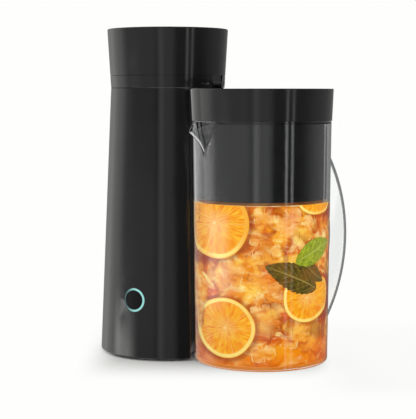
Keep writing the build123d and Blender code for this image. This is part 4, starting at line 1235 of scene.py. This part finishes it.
def mint_leaf(name, base, tip, width, bow, finish, lift):
    """Closed leaf: its front and back meet along the toothed edge."""
    base, tip = np.array(base) * MM, np.array(tip) * MM
    front, front_uv = leaf_side(base, tip, width * MM, bow * MM, -lift)
    back, back_uv = leaf_side(base, tip, width * 0.97 * MM, bow * MM, LEAF_DEPTH)
    points = np.concatenate([front, back[:, ::-1]], axis=1)
    uv = np.concatenate([front_uv, back_uv[:, ::-1]], axis=1)
    return put(net(name, points, close_v=True, uv=uv), finish)


print("leaves with", TEETH, "teeth on a side")

# %% Greens and veins
VEIN_PAIRS = 8.0


def leaf_finish(name, dark, light, brown, vein):
    """Finish for a leaf of two greens, a brown bruise and its veins."""
    def build(graph):
        x, y, z = graph.parts(graph.coordinates("UV"))
        place = graph.coordinates()
        mottled = graph.noise(place, 260.0, 4.0, 0.65)
        side = y.math("ABSOLUTE")
        ladder = ((x * VEIN_PAIRS - side * 1.9).math("FRACT") - 0.5).math("ABSOLUTE")
        branch = ladder.smooth(0.10, 0.02) * side.smooth(1.0, 0.75)
        lines = side.smooth(0.10, 0.03).math("MAXIMUM", branch * 0.6)
        tint = graph.paint(
            graph.mix(mottled.smooth(0.32, 0.68), dark, light),
            (graph.noise(place, 70.0).smooth(0.45, 0.68) * 0.6, brown),
            (lines * 0.65, vein),
            (ladder.smooth(0.36, 0.50) * side.smooth(0.05, 0.3) * 0.35, dark),
        )
        return graph.principled(Base_Color=tint, Roughness=0.5, Specular_IOR_Level=0.1,
                                Normal=graph.bump(mottled * 0.4 - lines, 0.6, 0.0008))
    return material(name, build)


dark_leaf = leaf_finish("mint_dark", "#4E420E", "#8A7222", "#A06420", "#C8AA50")
fresh_leaf = leaf_finish("mint_fresh", "#8A9E1A", "#C8D432", "#B4B420", "#E0E470")
print("leaf finishes:", dark_leaf.name, fresh_leaf.name)

# %% Leaves in place, in millimetres
LEAVES = [                    # base, tip, width, bow, finish
    ((38.0, 101.5), (68.5, 79.0), 15.0, -2.0, dark_leaf),
    ((57.5, 73.0), (3.5, 96.5), 27.0, -1.0, dark_leaf),
    ((31.5, 99.0), (80.5, 115.0), 24.0, 1.5, fresh_leaf),
    ((196.0, 84.0), (160.0, 108.0), 24.0, 1.0, fresh_leaf),
    ((200.0, 82.0), (232.0, 60.0), 22.0, -1.0, dark_leaf),
]
leaves = [
    mint_leaf(f"mint_leaf_{index}", *leaf, CONTACT + (0.045 + 0.012 * index) * MM)
    for index, leaf in enumerate(LEAVES)
]
print(len(leaves), "mint leaves,", len(leaves[0].data.polygons), "faces each")

# %% [markdown]
# ## Render settings
#
# Clear plastic needs more bounces than Blender gives by default, or its walls go black where
# many cross.

# %% View and bounces
scene = bpy.context.scene
scene.view_settings.view_transform = "Standard"
scene.cycles.transparent_max_bounces = 24
scene.cycles.max_bounces = 16
scene.cycles.transmission_bounces = 12
scene.cycles.glossy_bounces = 6
